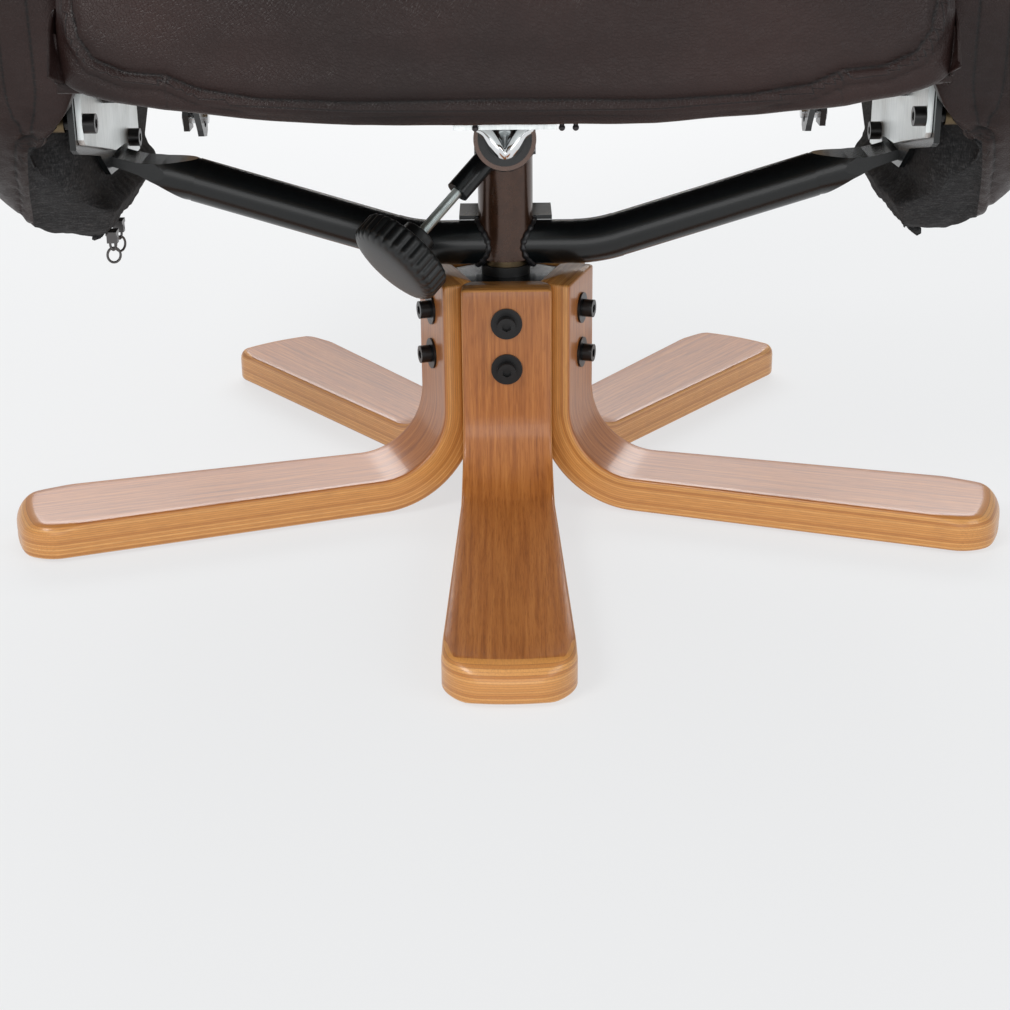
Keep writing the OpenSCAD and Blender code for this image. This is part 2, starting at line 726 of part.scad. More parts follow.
// Lugs welded to the uprights: pivot hole above, crank pin below
module back_lugs() {
  a0 = tilt + half_swing;
  c = crank_l;
  py = pivot_y - c * sin(tilt - half_swing);
  pz = pivot_z - c * cos(tilt - half_swing);
  color([0.12, 0.12, 0.13]) at() for (side = sides) mirror([side > 0 ? 0 : 1, 0, 0]) difference() {
    union() {
      side_plate(1, lug_in, lug_t, [[pivot_y - 17, pivot_z + 4], [py - 13, pz + 4], [py - 10, pz - 10],
        [py + 10, pz - 10], [py + 13, pz + 4], [pivot_y + 17, pivot_z - 4], [pivot_y + 44, pivot_z + 96],
        [pivot_y + 16, pivot_z + 104]]);
      translate([0, pivot_y, pivot_z]) rotate([-lean, 0, 0]) translate([0, 0, 88])
        rod_x(upright_x + 2, lug_in + 1, 8);
      translate([0, pivot_y, pivot_z]) rotate([-lean, 0, 0]) translate([0, 0, 50])
        rod_x(upright_x + 2, lug_in + 1, 8);
    }
    rod_x(lug_in - 1, lug_in + lug_t + 1, pin_d / 2 + 2, pivot_y, pivot_z);
    rod_x(lug_in - 1, lug_in + lug_t + 1, pin_d / 2 + join_gap, py, pz);
    translate([0, pivot_y, pivot_z]) rotate([-lean, 0, 0]) translate([upright_x, 0, -30])
      cylinder(h = 200, r = upright_d / 2 + join_gap);
  }
}

module crank_pins() {
  py = pivot_y - crank_l * sin(tilt - half_swing);
  pz = pivot_z - crank_l * cos(tilt - half_swing);
  color([0.7, 0.71, 0.72]) at() for (side = sides) mirror([side > 0 ? 0 : 1, 0, 0]) union() {
    rod_x(seat_lug_in - 3, lug_in + lug_t, pin_d / 2, py, pz);
    rod_x(lug_in + lug_t, lug_in + lug_t + 1.5, pin_d / 2 + 2, py, pz);
  }
}

module pivot_bushes() {
  color([0.85, 0.83, 0.75]) at() for (side = sides) mirror([side > 0 ? 0 : 1, 0, 0]) difference() {
    union() {
      rod_x(lug_in, lug_in + lug_t + 0.1, pin_d / 2 + 2 - join_gap, pivot_y, pivot_z);
      rod_x(lug_in + lug_t + 0.05, zinc_in - 0.3, pin_d, pivot_y, pivot_z);
    }
    rod_x(lug_in - 1, zinc_in, pin_d / 2 + run_fit, pivot_y, pivot_z);
  }
}

module back_webbing() {
  half = upright_x - 1;
  color([0.1, 0.1, 0.1]) on_back() for (k = [0 : 5])
    translate([-half, -upright_d / 2 - 2.4, 70 + k * 88]) cube([2 * half, 2, 50]);
}

module back_cushion() {
  t = back_t;
  color([0.22, 0.16, 0.15]) on_back() translate([-back_w / 2, 0, 0]) rotate([90, 0, 90])
    linear_extrude(height = back_w) polygon([[-15, 30], [-15, back_l + 14], [-22, back_l + 24],
      [-44, back_l + 22], [-62, back_l], [-66, back_l - 170], [-78, 320], [-15 - t + 8, 210],
      [-15 - t, 120], [-15 - t + 6, 66], [-15 - t + 26, 42], [-60, 30]]);
}

module head_pillow() {
  color([0.22, 0.16, 0.15]) on_back() translate([-205, 0, 0]) rotate([90, 0, 90])
    linear_extrude(height = 410) polygon([[-67.5, back_l - 170], [-64, back_l - 20], [-80, back_l - 10],
      [-104, back_l - 26], [-112, back_l - 80], [-104, back_l - 140], [-88, back_l - 166]]);
}

module back_cover() {
  color([0.2, 0.14, 0.13]) on_back() union() {
    translate([-back_w / 2, upright_d / 2 + 0.6, 20]) cube([back_w, 8, back_l]);
    for (side = sides) translate([side > 0 ? back_w / 2 - 8 : -back_w / 2, -14.4, 128])
      cube([8, upright_d / 2 + 15.4, back_l - 112]);
  }
}

// ---------- tension screw ----------

module brake_pad() {
  color([0.6, 0.5, 0.25]) difference() {
    on_screw() translate([0, 0, rod_d / 2 - 2]) cylinder(h = 11.4, r = 6);
    on_screw() translate([0, 0, rod_d / 2 + 5.4]) cylinder(h = 10, r = 3 + run_fit);
    on_slide() rotate([90, 0, 0]) cylinder(h = 120, r = rod_d / 2 + 0.4, center = true);
  }
}

module tension_screw() {
  color([0.75, 0.77, 0.77]) on_screw() union() {
    translate([0, 0, rod_d / 2 + 5.8]) cylinder(h = 4.2, r = 3);
    translate([0, 0, rod_d / 2 + 9.8]) cylinder(h = 110 - rod_d / 2 - 9.8, r = bolt_d / 2);
  }
}

module tension_knob() {
  hub_l = 12;
  ribs = 24;
  z1 = 95 + hub_l;
  color([0.06, 0.06, 0.06]) on_screw() difference() {
    union() {
      translate([0, 0, 95]) cylinder(h = hub_l + 1, r = 12.5);
      translate([0, 0, z1]) cylinder(h = knob_t - 4, r = knob_d / 2);
      translate([0, 0, z1 + knob_t - 4]) cylinder(h = 4, r1 = knob_d / 2, r2 = knob_d / 2 - 5);
    }
    for (k = [0 : ribs - 1]) rotate([0, 0, k * 360 / ribs]) translate([knob_d / 2 + 1.4, 0, z1 - 1])
      cylinder(h = knob_t - 4, r = 3);
    translate([0, 0, 90]) cylinder(h = 20.1, r = bolt_d / 2 + join_gap);
  }
}

leg_front();
leg_right_front();
leg_right_rear();
leg_left_rear();
leg_left_front();
leg_bolts();
leg_washers();
leg_glides();
hub_housing();
swivel_bush();
swivel_spindle();
spindle_circlip();
thrust_washer();
column_tube();
clamp_sleeve();
sleeve_bush();
tension_boss();
support_tube_left();
support_tube_right();
gusset_plate();
side_bracket_left();
side_bracket_right();
mechanism_plate_left();
mechanism_plate_right();
plate_bolts();
pivot_bolts();
arm_frame_left();
arm_frame_right();
arm_inserts();
arm_pad_left();
arm_pad_right();
arm_lining_left();
arm_lining_right();
zip_sliders();
zip_pull_front();
zip_pull_rear();
slide_rod();
rod_front_strip();
rod_rear_hanger();
seat_side_rails();
seat_cross_rails();
seat_springs();
cover_hooks();
seat_lugs();
seat_cushion();
seat_border();
back_uprights();
back_cross_tubes();
back_lugs();
crank_pins();
pivot_bushes();
back_webbing();
back_cushion();
head_pillow();
back_cover();
brake_pad();
tension_screw();
tension_knob();
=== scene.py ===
"""Looks of the recliner armchair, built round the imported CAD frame."""
import json
import math

import bpy
import numpy as np
from mathutils import Matrix, Vector

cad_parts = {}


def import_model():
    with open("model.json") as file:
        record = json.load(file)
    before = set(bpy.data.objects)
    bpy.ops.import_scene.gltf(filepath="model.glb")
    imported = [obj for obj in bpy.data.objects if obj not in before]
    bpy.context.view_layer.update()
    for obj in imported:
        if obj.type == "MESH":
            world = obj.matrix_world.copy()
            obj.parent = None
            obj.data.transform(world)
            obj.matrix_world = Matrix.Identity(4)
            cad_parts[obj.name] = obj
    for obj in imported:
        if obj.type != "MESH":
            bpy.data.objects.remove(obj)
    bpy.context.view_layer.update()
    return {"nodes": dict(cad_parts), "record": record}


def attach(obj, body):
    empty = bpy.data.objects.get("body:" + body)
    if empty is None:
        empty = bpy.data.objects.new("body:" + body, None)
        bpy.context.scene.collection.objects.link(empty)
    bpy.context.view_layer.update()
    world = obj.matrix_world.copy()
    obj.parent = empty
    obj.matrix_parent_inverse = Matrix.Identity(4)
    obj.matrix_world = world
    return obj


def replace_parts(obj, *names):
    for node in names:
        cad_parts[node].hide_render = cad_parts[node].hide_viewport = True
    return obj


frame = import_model()

# Driving places, in mm
SHIFT = np.array([0.0, -38.5, 3.0])   # from the swivel axis at the foot's underside to the frame
TILT = math.radians(10)               # fall of the slide towards the rear
LEAN = math.radians(15)               # lean of the back at rest
SLIDE_Z = 265                         # height of the slide's axis at the swivel axis
PIVOT_Y, PIVOT_Z = 245, 345           # the back's hinge
SCREW_Y = -10                         # foot of the tension screw along the slide
SCREW_TURN = math.radians(-141)       # tension screw about the slide's axis
SCREW_FWD = math.radians(28)          # tension screw towards the front


# ---------------------------------------------------------------- places

def world(p):
    """Millimetres from the swivel axis to metres in the frame."""
    return (np.asarray(p, float) + SHIFT) / 1000.0


def slide(p):
    """Slide frame (x, y back along the slide, n square to it) to the swivel axis frame, mm."""
    p = np.asarray(p, float)
    c, s = math.cos(TILT), math.sin(TILT)
    x, y, n = p[..., 0], p[..., 1], p[..., 2]
    return np.stack([x, y * c + n * s, SLIDE_Z - y * s + n * c], -1)


def back(p):
    """Back frame (x, y square to the back, b up the back) to the swivel axis frame, mm."""
    p = np.asarray(p, float)
    c, s = math.cos(LEAN), math.sin(LEAN)
    x, y, b = p[..., 0], p[..., 1], p[..., 2]
    return np.stack([x, PIVOT_Y + y * c + b * s, PIVOT_Z - y * s + b * c], -1)


def screw(p):
    """Tension screw frame (x, y, z out along the screw) to the swivel axis frame, mm."""
    p = np.asarray(p, float)
    c, s = math.cos(SCREW_TURN), math.sin(SCREW_TURN)
    x, y, z = p[..., 0], p[..., 1], p[..., 2]
    x, z = x * c + z * s, -x * s + z * c
    c, s = math.cos(SCREW_FWD), math.sin(SCREW_FWD)
    return slide(np.stack([x, y * c + z * s + SCREW_Y, -y * s + z * c], -1))


# ---------------------------------------------------------------- mesh helpers

def sstep(a, b, x):
    """Smooth step t^2 (3 - 2 t) from 0 at a to 1 at b."""
    t = np.clip((np.asarray(x, float) - a) / (b - a), 0, 1)
    return t * t * (3 - 2 * t)


def field(p, size, seed, n=26):
    """Smooth random field in -1..1: sum of sines with seeded directions, size in mm."""
    rng = np.random.default_rng(seed)
    d = rng.normal(size=(n, 3))
    d /= np.linalg.norm(d, axis=1)[:, None]
    k = 2 * np.pi / (size * rng.uniform(0.6, 1.7, n))
    ph = rng.uniform(0, 2 * np.pi, n)
    out = np.zeros(p.shape[:-1])
    for i in range(n):
        out += np.sin((p @ d[i]) * k[i] + ph[i])
    return out / math.sqrt(n) / 1.6


def build(name, verts, faces, material, attrs=None, smooth=True):
    """Mesh object from points in mm about the swivel axis; attrs are float or vector point data."""
    me = bpy.data.meshes.new(name)
    v = world(verts)
    me.from_pydata(v.tolist(), [], [tuple(int(i) for i in f) for f in faces])
    me.update()
    for key, val in (attrs or {}).items():
        val = np.asarray(val, np.float32)
        kind = "FLOAT" if val.ndim == 1 else "FLOAT_VECTOR"
        a = me.attributes.new(key, kind, "POINT")
        a.data.foreach_set("value" if val.ndim == 1 else "vector", val.ravel())
    if smooth:
        me.polygons.foreach_set("use_smooth", [True] * len(me.polygons))
    me.materials.append(material)
    ob = bpy.data.objects.new(name, me)
    bpy.context.collection.objects.link(ob)
    return ob


def loft_faces(s, n, caps=(True, True)):
    """Faces of s closed rings of n points, with a fan at each end (centre points follow the rings)."""
    i, j = np.meshgrid(np.arange(s - 1), np.arange(n), indexing="ij")
    a, b = i * n + j, i * n + (j + 1) % n
    faces = [tuple(f) for f in np.stack([a, b, b + n, a + n], -1).reshape(-1, 4).tolist()]
    c = s * n
    if caps[0]:
        faces += [(k2, k1, c) for k1, k2 in ((k, (k + 1) % n) for k in range(n))]
        c += 1
    if caps[1]:
        o = (s - 1) * n
        faces += [(o + k, o + (k + 1) % n, c) for k in range(n)]
    return faces


def mesh_points(rings):
    """Ring points with the two cap centres, in mesh order."""
    return np.vstack([rings.reshape(-1, 3), rings[0].mean(0), rings[-1].mean(0)])


def flat(attr):
    """Ring data with the two cap centres, in mesh order."""
    attr = np.asarray(attr)
    return np.concatenate([attr.reshape(-1), [attr[0].mean()], [attr[-1].mean()]])


def loft(name, rings, material, attrs=None, flip=False, smooth=True):
    """Closed loft through rings (S, N, 3) in mm with fan caps; attrs are (S, N) or (S, N, k)."""
    rings = np.asarray(rings, float)
    s, n = rings.shape[:2]
    out = {}
    for key, val in (attrs or {}).items():
        val = np.asarray(val, float)
        points = val.reshape(s * n, *val.shape[2:])
        out[key] = np.concatenate([points, [val[0].mean(0)], [val[-1].mean(0)]])
    faces = loft_faces(s, n)
    if flip:
        faces = [f[::-1] for f in faces]
    return build(name, mesh_points(rings), faces, material, out, smooth)


def normals(ob):
    """Point normals of an object's mesh."""
    me = ob.data
    me.update()
    out = np.empty(len(me.vertices) * 3, np.float32)
    me.vertex_normals.foreach_get("vector", out)
    return out.reshape(-1, 3)


def coords(ob):
    """Points of an object's mesh, in metres."""
    out = np.empty(len(ob.data.vertices) * 3, np.float32)
    ob.data.vertices.foreach_get("co", out)
    return out.reshape(-1, 3).astype(float)


def set_coords(ob, co):
    """Put the mesh's points at co, in metres."""
    ob.data.vertices.foreach_set("co", np.asarray(co, np.float32).ravel())
    ob.data.update()


def push(ob, amount):
    """Move every point along its normal by amount in mm."""
    set_coords(ob, coords(ob) + normals(ob) * (np.asarray(amount)[:, None] / 1000.0))


def smooth_loop(points, n, sigma):
    """Closed polygon resampled to n points and smoothed by a Gaussian of sigma mm."""
    p = np.asarray(points, float)
    q = np.vstack([p, p[:1]])
    seg = np.linalg.norm(np.diff(q, axis=0), axis=1)
    cum = np.concatenate([[0], np.cumsum(seg)])
    m = 2000
    t = np.linspace(0, cum[-1], m, endpoint=False)
    r = np.stack([np.interp(t, cum, q[:, k]) for k in range(q.shape[1])], 1)
    f = np.fft.rfftfreq(m, d=cum[-1] / m)
    g = np.exp(-2 * (np.pi * f * sigma) ** 2)
    r = np.stack([np.fft.irfft(np.fft.rfft(r[:, k]) * g, m) for k in range(r.shape[1])], 1)
    seg = np.linalg.norm(np.diff(np.vstack([r, r[:1]]), axis=0), axis=1)
    cum2 = np.concatenate([[0], np.cumsum(seg)])
    t2 = np.linspace(0, cum2[-1], n, endpoint=False)
    rr = np.vstack([r, r[:1]])
    return np.stack([np.interp(t2, cum2, rr[:, k]) for k in range(rr.shape[1])], 1)


def loop_normals(loop):
    """Outward normals of a closed outline, whichever way round it runs."""
    d = np.roll(loop, -1, 0) - np.roll(loop, 1, 0)
    nrm = np.stack([d[:, 1], -d[:, 0]], 1)
    nrm /= np.linalg.norm(nrm, axis=1)[:, None]
    area = 0.5 * np.sum(loop[:, 0] * np.roll(loop[:, 1], -1) - np.roll(loop[:, 0], -1) * loop[:, 1])
    return nrm if area > 0 else -nrm


# ---------------------------------------------------------------- materials

def new_material(name):
    """Material with an output and a Principled shader: the material, its tree and the shader."""
    m = bpy.data.materials.new(name)
    m.use_nodes = True
    nt = m.node_tree
    nt.nodes.clear()
    out = nt.nodes.new("ShaderNodeOutputMaterial")
    bsdf = nt.nodes.new("ShaderNodeBsdfPrincipled")
    nt.links.new(bsdf.outputs[0], out.inputs[0])
    return m, nt, bsdf


def node(nt, kind, inputs=None, **props):
    """Shader node with its properties set and its inputs linked or given a value."""
    n = nt.nodes.new(kind)
    for k, v in props.items():
        setattr(n, k, v)
    for k, v in (inputs or {}).items():
        if isinstance(v, bpy.types.NodeSocket):
            nt.links.new(v, n.inputs[k])
        else:
            n.inputs[k].default_value = v
    return n


def math_node(nt, op, a, b=0.0, clamp=False):
    return node(nt, "ShaderNodeMath", {0: a, 1: b}, operation=op, use_clamp=clamp).outputs[0]


def ramp(nt, fac, stops):
    """Colour ramp of (position, colour) stops."""
    n = node(nt, "ShaderNodeValToRGB", {"Fac": fac})
    el = n.color_ramp.elements
    while len(el) < len(stops):
        el.new(0.5)
    for e, (pos, col) in zip(el, stops):
        e.position = pos
        e.color = (*col, 1.0)
    return n.outputs[0]


def mix(nt, fac, a, b):
    """Colour a where fac is 0, b where it is 1."""
    n = nt.nodes.new("ShaderNodeMix")
    n.data_type = "RGBA"
    for sock, val in ((n.inputs["Factor"], fac), (n.inputs[6], a), (n.inputs[7], b)):
        if isinstance(val, bpy.types.NodeSocket):
            nt.links.new(val, sock)
        elif sock.type == "RGBA":
            sock.default_value = (*val, 1.0)
        else:
            sock.default_value = val
    return n.outputs[2]


def multiply(nt, fac, a, b):
    """Colour a darkened by colour b, by the share fac."""
    n = node(nt, "ShaderNodeMix", data_type="RGBA", blend_type="MULTIPLY")
    n.inputs["Factor"].default_value = fac
    nt.links.new(a, n.inputs[6])
    nt.links.new(b, n.inputs[7])
    return n.outputs[2]


def bump(nt, height, strength, distance):
    return node(nt, "ShaderNodeBump",
                {"Height": height, "Strength": strength, "Distance": distance}).outputs[0]


def obj_coord(nt):
    return node(nt, "ShaderNodeTexCoord").outputs["Object"]


def scaled(nt, vec, sc):
    return node(nt, "ShaderNodeMapping", {"Vector": vec, "Scale": sc}).outputs[0]


def noise(nt, vec, scale, detail=3.0, rough=0.55):
    return node(nt, "ShaderNodeTexNoise", {"Vector": vec, "Scale": scale, "Detail": detail,
                                           "Roughness": rough}).outputs["Fac"]


def attribute(nt, name, vector=False):
    n = node(nt, "ShaderNodeAttribute", attribute_name=name)
    return n.outputs["Vector"] if vector else n.outputs["Fac"]


def leather_parts(nt):
    """Grained dark brown leather: colour, roughness, height of the grain."""
    co = obj_coord(nt)
    cells = node(nt, "ShaderNodeTexVoronoi", {"Vector": co, "Scale": 520.0, "Randomness": 1.0},
                 feature="DISTANCE_TO_EDGE").outputs["Distance"]
    fine = noise(nt, co, 900.0, 2.0)
    crease = noise(nt, scaled(nt, co, (1.0, 1.0, 1.6)), 130.0, 4.0, 0.6)
    broad = noise(nt, co, 7.0, 3.0)
    tone = ramp(nt, broad, [(0.3, (0.0125, 0.0060, 0.0052)), (0.7, (0.030, 0.0140, 0.0120))])
    pits = ramp(nt, cells, [(0.0, (0.55, 0.55, 0.55)), (0.12, (1.0, 1.0, 1.0))])
    col = multiply(nt, 0.5, tone, pits)
    h = math_node(nt, "ADD", math_node(nt, "MULTIPLY", math_node(nt, "MINIMUM", cells, 0.15), 3.0),
                  math_node(nt, "ADD", math_node(nt, "MULTIPLY", fine, 0.15),
                            math_node(nt, "MULTIPLY", crease, 0.45)))
    rough = ramp(nt, crease, [(0.35, (0.36, 0.36, 0.36)), (0.65, (0.50, 0.50, 0.50))])
    return col, rough, h


def felt_parts(nt):
    """Dark grey non-woven lining: colour and height."""
    co = obj_coord(nt)
    a = noise(nt, scaled(nt, co, (1.0, 1.0, 0.35)), 900.0, 4.0, 0.7)
    b = noise(nt, scaled(nt, co, (0.4, 0.4, 1.4)), 420.0, 3.0, 0.6)
    c = noise(nt, co, 14.0, 3.0)
    m = math_node(nt, "ADD", math_node(nt, "MULTIPLY", a, 0.6), math_node(nt, "MULTIPLY", b, 0.4))
    col = ramp(nt, m, [(0.36, (0.012, 0.012, 0.013)), (0.52, (0.031, 0.031, 0.032)),
                       (0.70, (0.085, 0.083, 0.083))])
    shade = ramp(nt, c, [(0.3, (0.75, 0.75, 0.75)), (0.7, (1.1, 1.1, 1.1))])
    return multiply(nt, 1.0, col, shade), m


def make_leather(name, lined=False):
    """Leather with stitched seams from point data, each seam a dark line: dark stitches plus painted shade
    along the seam's groove;
    seam_d is the distance to a seam in mm, run the length along it; where lined, lining_d < 0 is the felt
    side."""
    m, nt, bsdf = new_material(name)
    col, rough, h = leather_parts(nt)
    d = attribute(nt, "seam_d")
    run = attribute(nt, "run")
    apart = math_node(nt, "DIVIDE", math_node(nt, "ABSOLUTE", d), 1.6)
    near = math_node(nt, "SUBTRACT", 1.0, apart, True)
    wave = math_node(nt, "FRACT", math_node(nt, "DIVIDE", run, 4.6))
    gap = math_node(nt, "LESS_THAN", wave, 0.24)
    thread = math_node(nt, "SUBTRACT", 1.0, math_node(nt, "MULTIPLY", gap, 0.45))
    dark = math_node(nt, "MULTIPLY", near, thread, True)
    # seam line darkened: dark stitch thread, and painted shade along the sewn groove
    col = mix(nt, dark, col, (0.006, 0.0045, 0.0045))
    height = math_node(nt, "SUBTRACT", h, math_node(nt, "MULTIPLY", near, 1.2))
    if lined:
        fcol, fh = felt_parts(nt)
        ld = attribute(nt, "lining_d")
        side = math_node(nt, "LESS_THAN", ld, 0.0)
        col = mix(nt, side, col, fcol)
        felt_height = math_node(nt, "MULTIPLY", fh, 2.6)
        both = node(nt, "ShaderNodeMix", data_type="FLOAT")
        nt.links.new(side, both.inputs["Factor"])
        nt.links.new(height, both.inputs[2])
        nt.links.new(felt_height, both.inputs[3])
        height = both.outputs[0]
        rough = mix(nt, side, rough, (0.95, 0.95, 0.95))
    nt.links.new(rough, bsdf.inputs["Roughness"])
    nt.links.new(col, bsdf.inputs["Base Color"])
    nt.links.new(bump(nt, height, 0.42, 0.0007), bsdf.inputs["Normal"])
    bsdf.inputs["Specular IOR Level"].default_value = 0.27
    return m


def make_felt(name):
    """Dark grey non-woven lining by itself."""
    m, nt, bsdf = new_material(name)
    col, h = felt_parts(nt)
    nt.links.new(col, bsdf.inputs["Base Color"])
    bsdf.inputs["Roughness"].default_value = 0.95
    nt.links.new(bump(nt, h, 0.4, 0.0012), bsdf.inputs["Normal"])
    return m


def make_bentwood(name):
    """Laminated bentwood. Point data: lam = (run, across, depth) in metres, rim = 1 on sawn edges."""
    m, nt, bsdf = new_material(name)
    lam = attribute(nt, "lam", True)
    rim = attribute(nt, "rim")
    sep = node(nt, "ShaderNodeSeparateXYZ", {0: lam})
    s, t, d = sep.outputs
    layer = math_node(nt, "MULTIPLY", d, 640.0)
    lid = math_node(nt, "FLOOR", layer)
    leg = math_node(nt, "FLOOR", math_node(nt, "DIVIDE", s, 10.0))
    rnd = node(nt, "ShaderNodeTexWhiteNoise", {"W": math_node(nt, "ADD", lid, leg)},
               noise_dimensions="1D").outputs["Value"]
    off_middle = math_node(nt, "SUBTRACT", math_node(nt, "FRACT", layer), 0.5)
    line = math_node(nt, "LESS_THAN", math_node(nt, "ABSOLUTE", off_middle), 0.42)
    vec = node(nt, "ShaderNodeCombineXYZ", {0: math_node(nt, "MULTIPLY", s, 9.0),
                                            1: math_node(nt, "MULTIPLY", t, 300.0),
                                            2: math_node(nt, "MULTIPLY", lid, 3.7)}).outputs[0]
    grain = noise(nt, vec, 1.0, 5.0, 0.62)
    vec2 = node(nt, "ShaderNodeCombineXYZ", {0: math_node(nt, "MULTIPLY", s, 75.0),
                                             1: math_node(nt, "MULTIPLY", t, 1500.0),
                                             2: math_node(nt, "MULTIPLY", d, 1500.0)}).outputs[0]
    pores = noise(nt, vec2, 1.0, 2.0, 0.5)
    col = ramp(nt, grain, [(0.28, (0.26, 0.080, 0.018)), (0.48, (0.40, 0.138, 0.031)),
                           (0.72, (0.52, 0.205, 0.052))])
    poremask = ramp(nt, pores, [(0.50, (1, 1, 1)), (0.66, (0.72, 0.64, 0.56))])
    face = multiply(nt, 0.75, col, poremask)
    tone = ramp(nt, rnd, [(0.0, (0.46, 0.180, 0.038)), (0.5, (0.58, 0.250, 0.060)),
                          (1.0, (0.68, 0.335, 0.100))])
    streak = ramp(nt, noise(nt, vec2, 1.0, 3.0, 0.6), [(0.4, (0, 0, 0)), (0.7, (1, 1, 1))])
    edge = mix(nt, math_node(nt, "MULTIPLY", streak, 0.35), tone, (0.26, 0.10, 0.028))
    glue = math_node(nt, "SUBTRACT", 1.0, line)
    edge = mix(nt, math_node(nt, "MULTIPLY", glue, 0.38), edge, (0.12, 0.05, 0.016))
    full = mix(nt, ramp(nt, rim, [(0.45, (0, 0, 0)), (0.55, (1, 1, 1))]), face, edge)
    nt.links.new(full, bsdf.inputs["Base Color"])
    bsdf.inputs["Roughness"].default_value = 0.38
    bsdf.inputs["Coat Weight"].default_value = 0.32
    bsdf.inputs["Coat Roughness"].default_value = 0.16
    ply = math_node(nt, "MULTIPLY", line, math_node(nt, "MULTIPLY", rim, 0.4))
    h = math_node(nt, "ADD", math_node(nt, "MULTIPLY", pores, -0.5), ply)
    nt.links.new(bump(nt, h, 0.18, 0.0004), bsdf.inputs["Normal"])
    return m


def make_plain(name, color, rough, metallic=0.0, grain=0.0, scale=400.0, spec=0.5, coat=0.0):
    """Uniform finish with an optional fine bump and tonal drift."""
    m, nt, bsdf = new_material(name)
    co = obj_coord(nt)
    drift = noise(nt, co, scale * 0.12, 3.0)
    dark = tuple(c * 0.82 for c in color)
    light = tuple(min(1.0, c * 1.12) for c in color)
    nt.links.new(ramp(nt, drift, [(0.3, dark), (0.7, light)]), bsdf.inputs["Base Color"])
    bsdf.inputs["Metallic"].default_value = metallic
    bsdf.inputs["Roughness"].default_value = rough
    bsdf.inputs["Specular IOR Level"].default_value = spec
    bsdf.inputs["Coat Weight"].default_value = coat
    if grain:
        nt.links.new(bump(nt, noise(nt, co, scale, 3.0, 0.6), grain, 0.0004), bsdf.inputs["Normal"])
    return m


def make_zinc(name):
    """Bright zinc plate with fine upright streaks."""
    m, nt, bsdf = new_material(name)
    co = obj_coord(nt)
    st = noise(nt, scaled(nt, co, (1.0, 1.0, 0.06)), 420.0, 4.0, 0.65)
    bl = noise(nt, co, 26.0, 3.0)
    col = ramp(nt, st, [(0.3, (0.60, 0.64, 0.64)), (0.5, (0.72, 0.755, 0.755)),
                        (0.72, (0.80, 0.83, 0.82))])
    nt.links.new(col, bsdf.inputs["Base Color"])
    bsdf.inputs["Metallic"].default_value = 0.85
    r = ramp(nt, bl, [(0.3, (0.30, 0.30, 0.30)), (0.7, (0.46, 0.46, 0.46))])
    nt.links.new(r, bsdf.inputs["Roughness"])
    nt.links.new(bump(nt, st, 0.12, 0.0003), bsdf.inputs["Normal"])
    return m


def make_plywood(name):
    """Pale plywood with its grain along Y."""
    m, nt, bsdf = new_material(name)
    co = obj_coord(nt)
    g = noise(nt, scaled(nt, co, (1.0, 0.08, 1.0)), 160.0, 5.0, 0.6)
    col = ramp(nt, g, [(0.3, (0.46, 0.31, 0.17)), (0.7, (0.66, 0.48, 0.29))])
    nt.links.new(col, bsdf.inputs["Base Color"])
    bsdf.inputs["Roughness"].default_value = 0.6
    nt.links.new(bump(nt, g, 0.15, 0.0004), bsdf.inputs["Normal"])
    return m


def make_webbing(name):
    """Black woven webbing."""
    m, nt, bsdf = new_material(name)
    w = node(nt, "ShaderNodeTexWave",
             {"Vector": obj_coord(nt), "Scale": 160.0, "Distortion": 0.4}).outputs["Fac"]
    col = ramp(nt, w, [(0.2, (0.012, 0.012, 0.013)), (0.8, (0.05, 0.05, 0.052))])
    nt.links.new(col, bsdf.inputs["Base Color"])
    bsdf.inputs["Roughness"].default_value = 0.9
    nt.links.new(bump(nt, w, 0.5, 0.0005), bsdf.inputs["Normal"])
    return m


LEATHER = make_leather("leather")
ARM_LEATHER = make_leather("leather_and_lining", lined=True)
FELT = make_felt("lining")
WOOD = make_bentwood("bentwood")
POWDER = make_plain("powder_coat", (0.0045, 0.0060, 0.0066), 0.27, 0.0, 0.10, 1400.0, spec=0.42, coat=0.10)
# black coat of the column and sleeve, given a brown base colour: painted reflection of the wooden legs
COLUMN_COAT_PAINTED_REFLECTION = make_plain("column_painted_reflection_coat", (0.060, 0.026, 0.014), 0.22, 0.45, 0.06, 1400.0, spec=0.6, coat=0.25)
BLACK_STEEL = make_plain("black_steel", (0.006, 0.006, 0.0065), 0.33, 0.2, 0.08, 900.0)
BLACK_PLASTIC = make_plain("black_plastic", (0.006, 0.0065, 0.007), 0.42, 0.0, 0.12, 1600.0)
KNOB = make_plain("knob_plastic", (0.0050, 0.0062, 0.0066), 0.40, 0.0, 0.06, 1600.0)
CHROME = make_plain("chrome", (0.80, 0.81, 0.82), 0.07, 1.0)
STEEL = make_plain("turned_steel", (0.55, 0.56, 0.57), 0.25, 1.0, 0.08, 700.0)
THREAD = make_plain("zinc_thread", (0.62, 0.68, 0.67), 0.28, 0.95)
ZINC = make_zinc("zinc")
BRONZE = make_plain("bronze", (0.14, 0.105, 0.06), 0.35, 0.9, 0.1, 700.0)
PLY = make_plywood("plywood")
WIRE = make_plain("dark_wire", (0.045, 0.04, 0.042), 0.4, 0.6)
ZIP = make_plain("zip_metal", (0.12, 0.115, 0.115), 0.33, 0.85)
NYLON = make_plain("white_nylon", (0.78, 0.76, 0.68), 0.45, 0.0, 0.05, 600.0)
WEB = make_webbing("webbing")
WELD = make_plain("weld", (0.022, 0.022, 0.024), 0.32, 0.2, 0.6, 500.0)

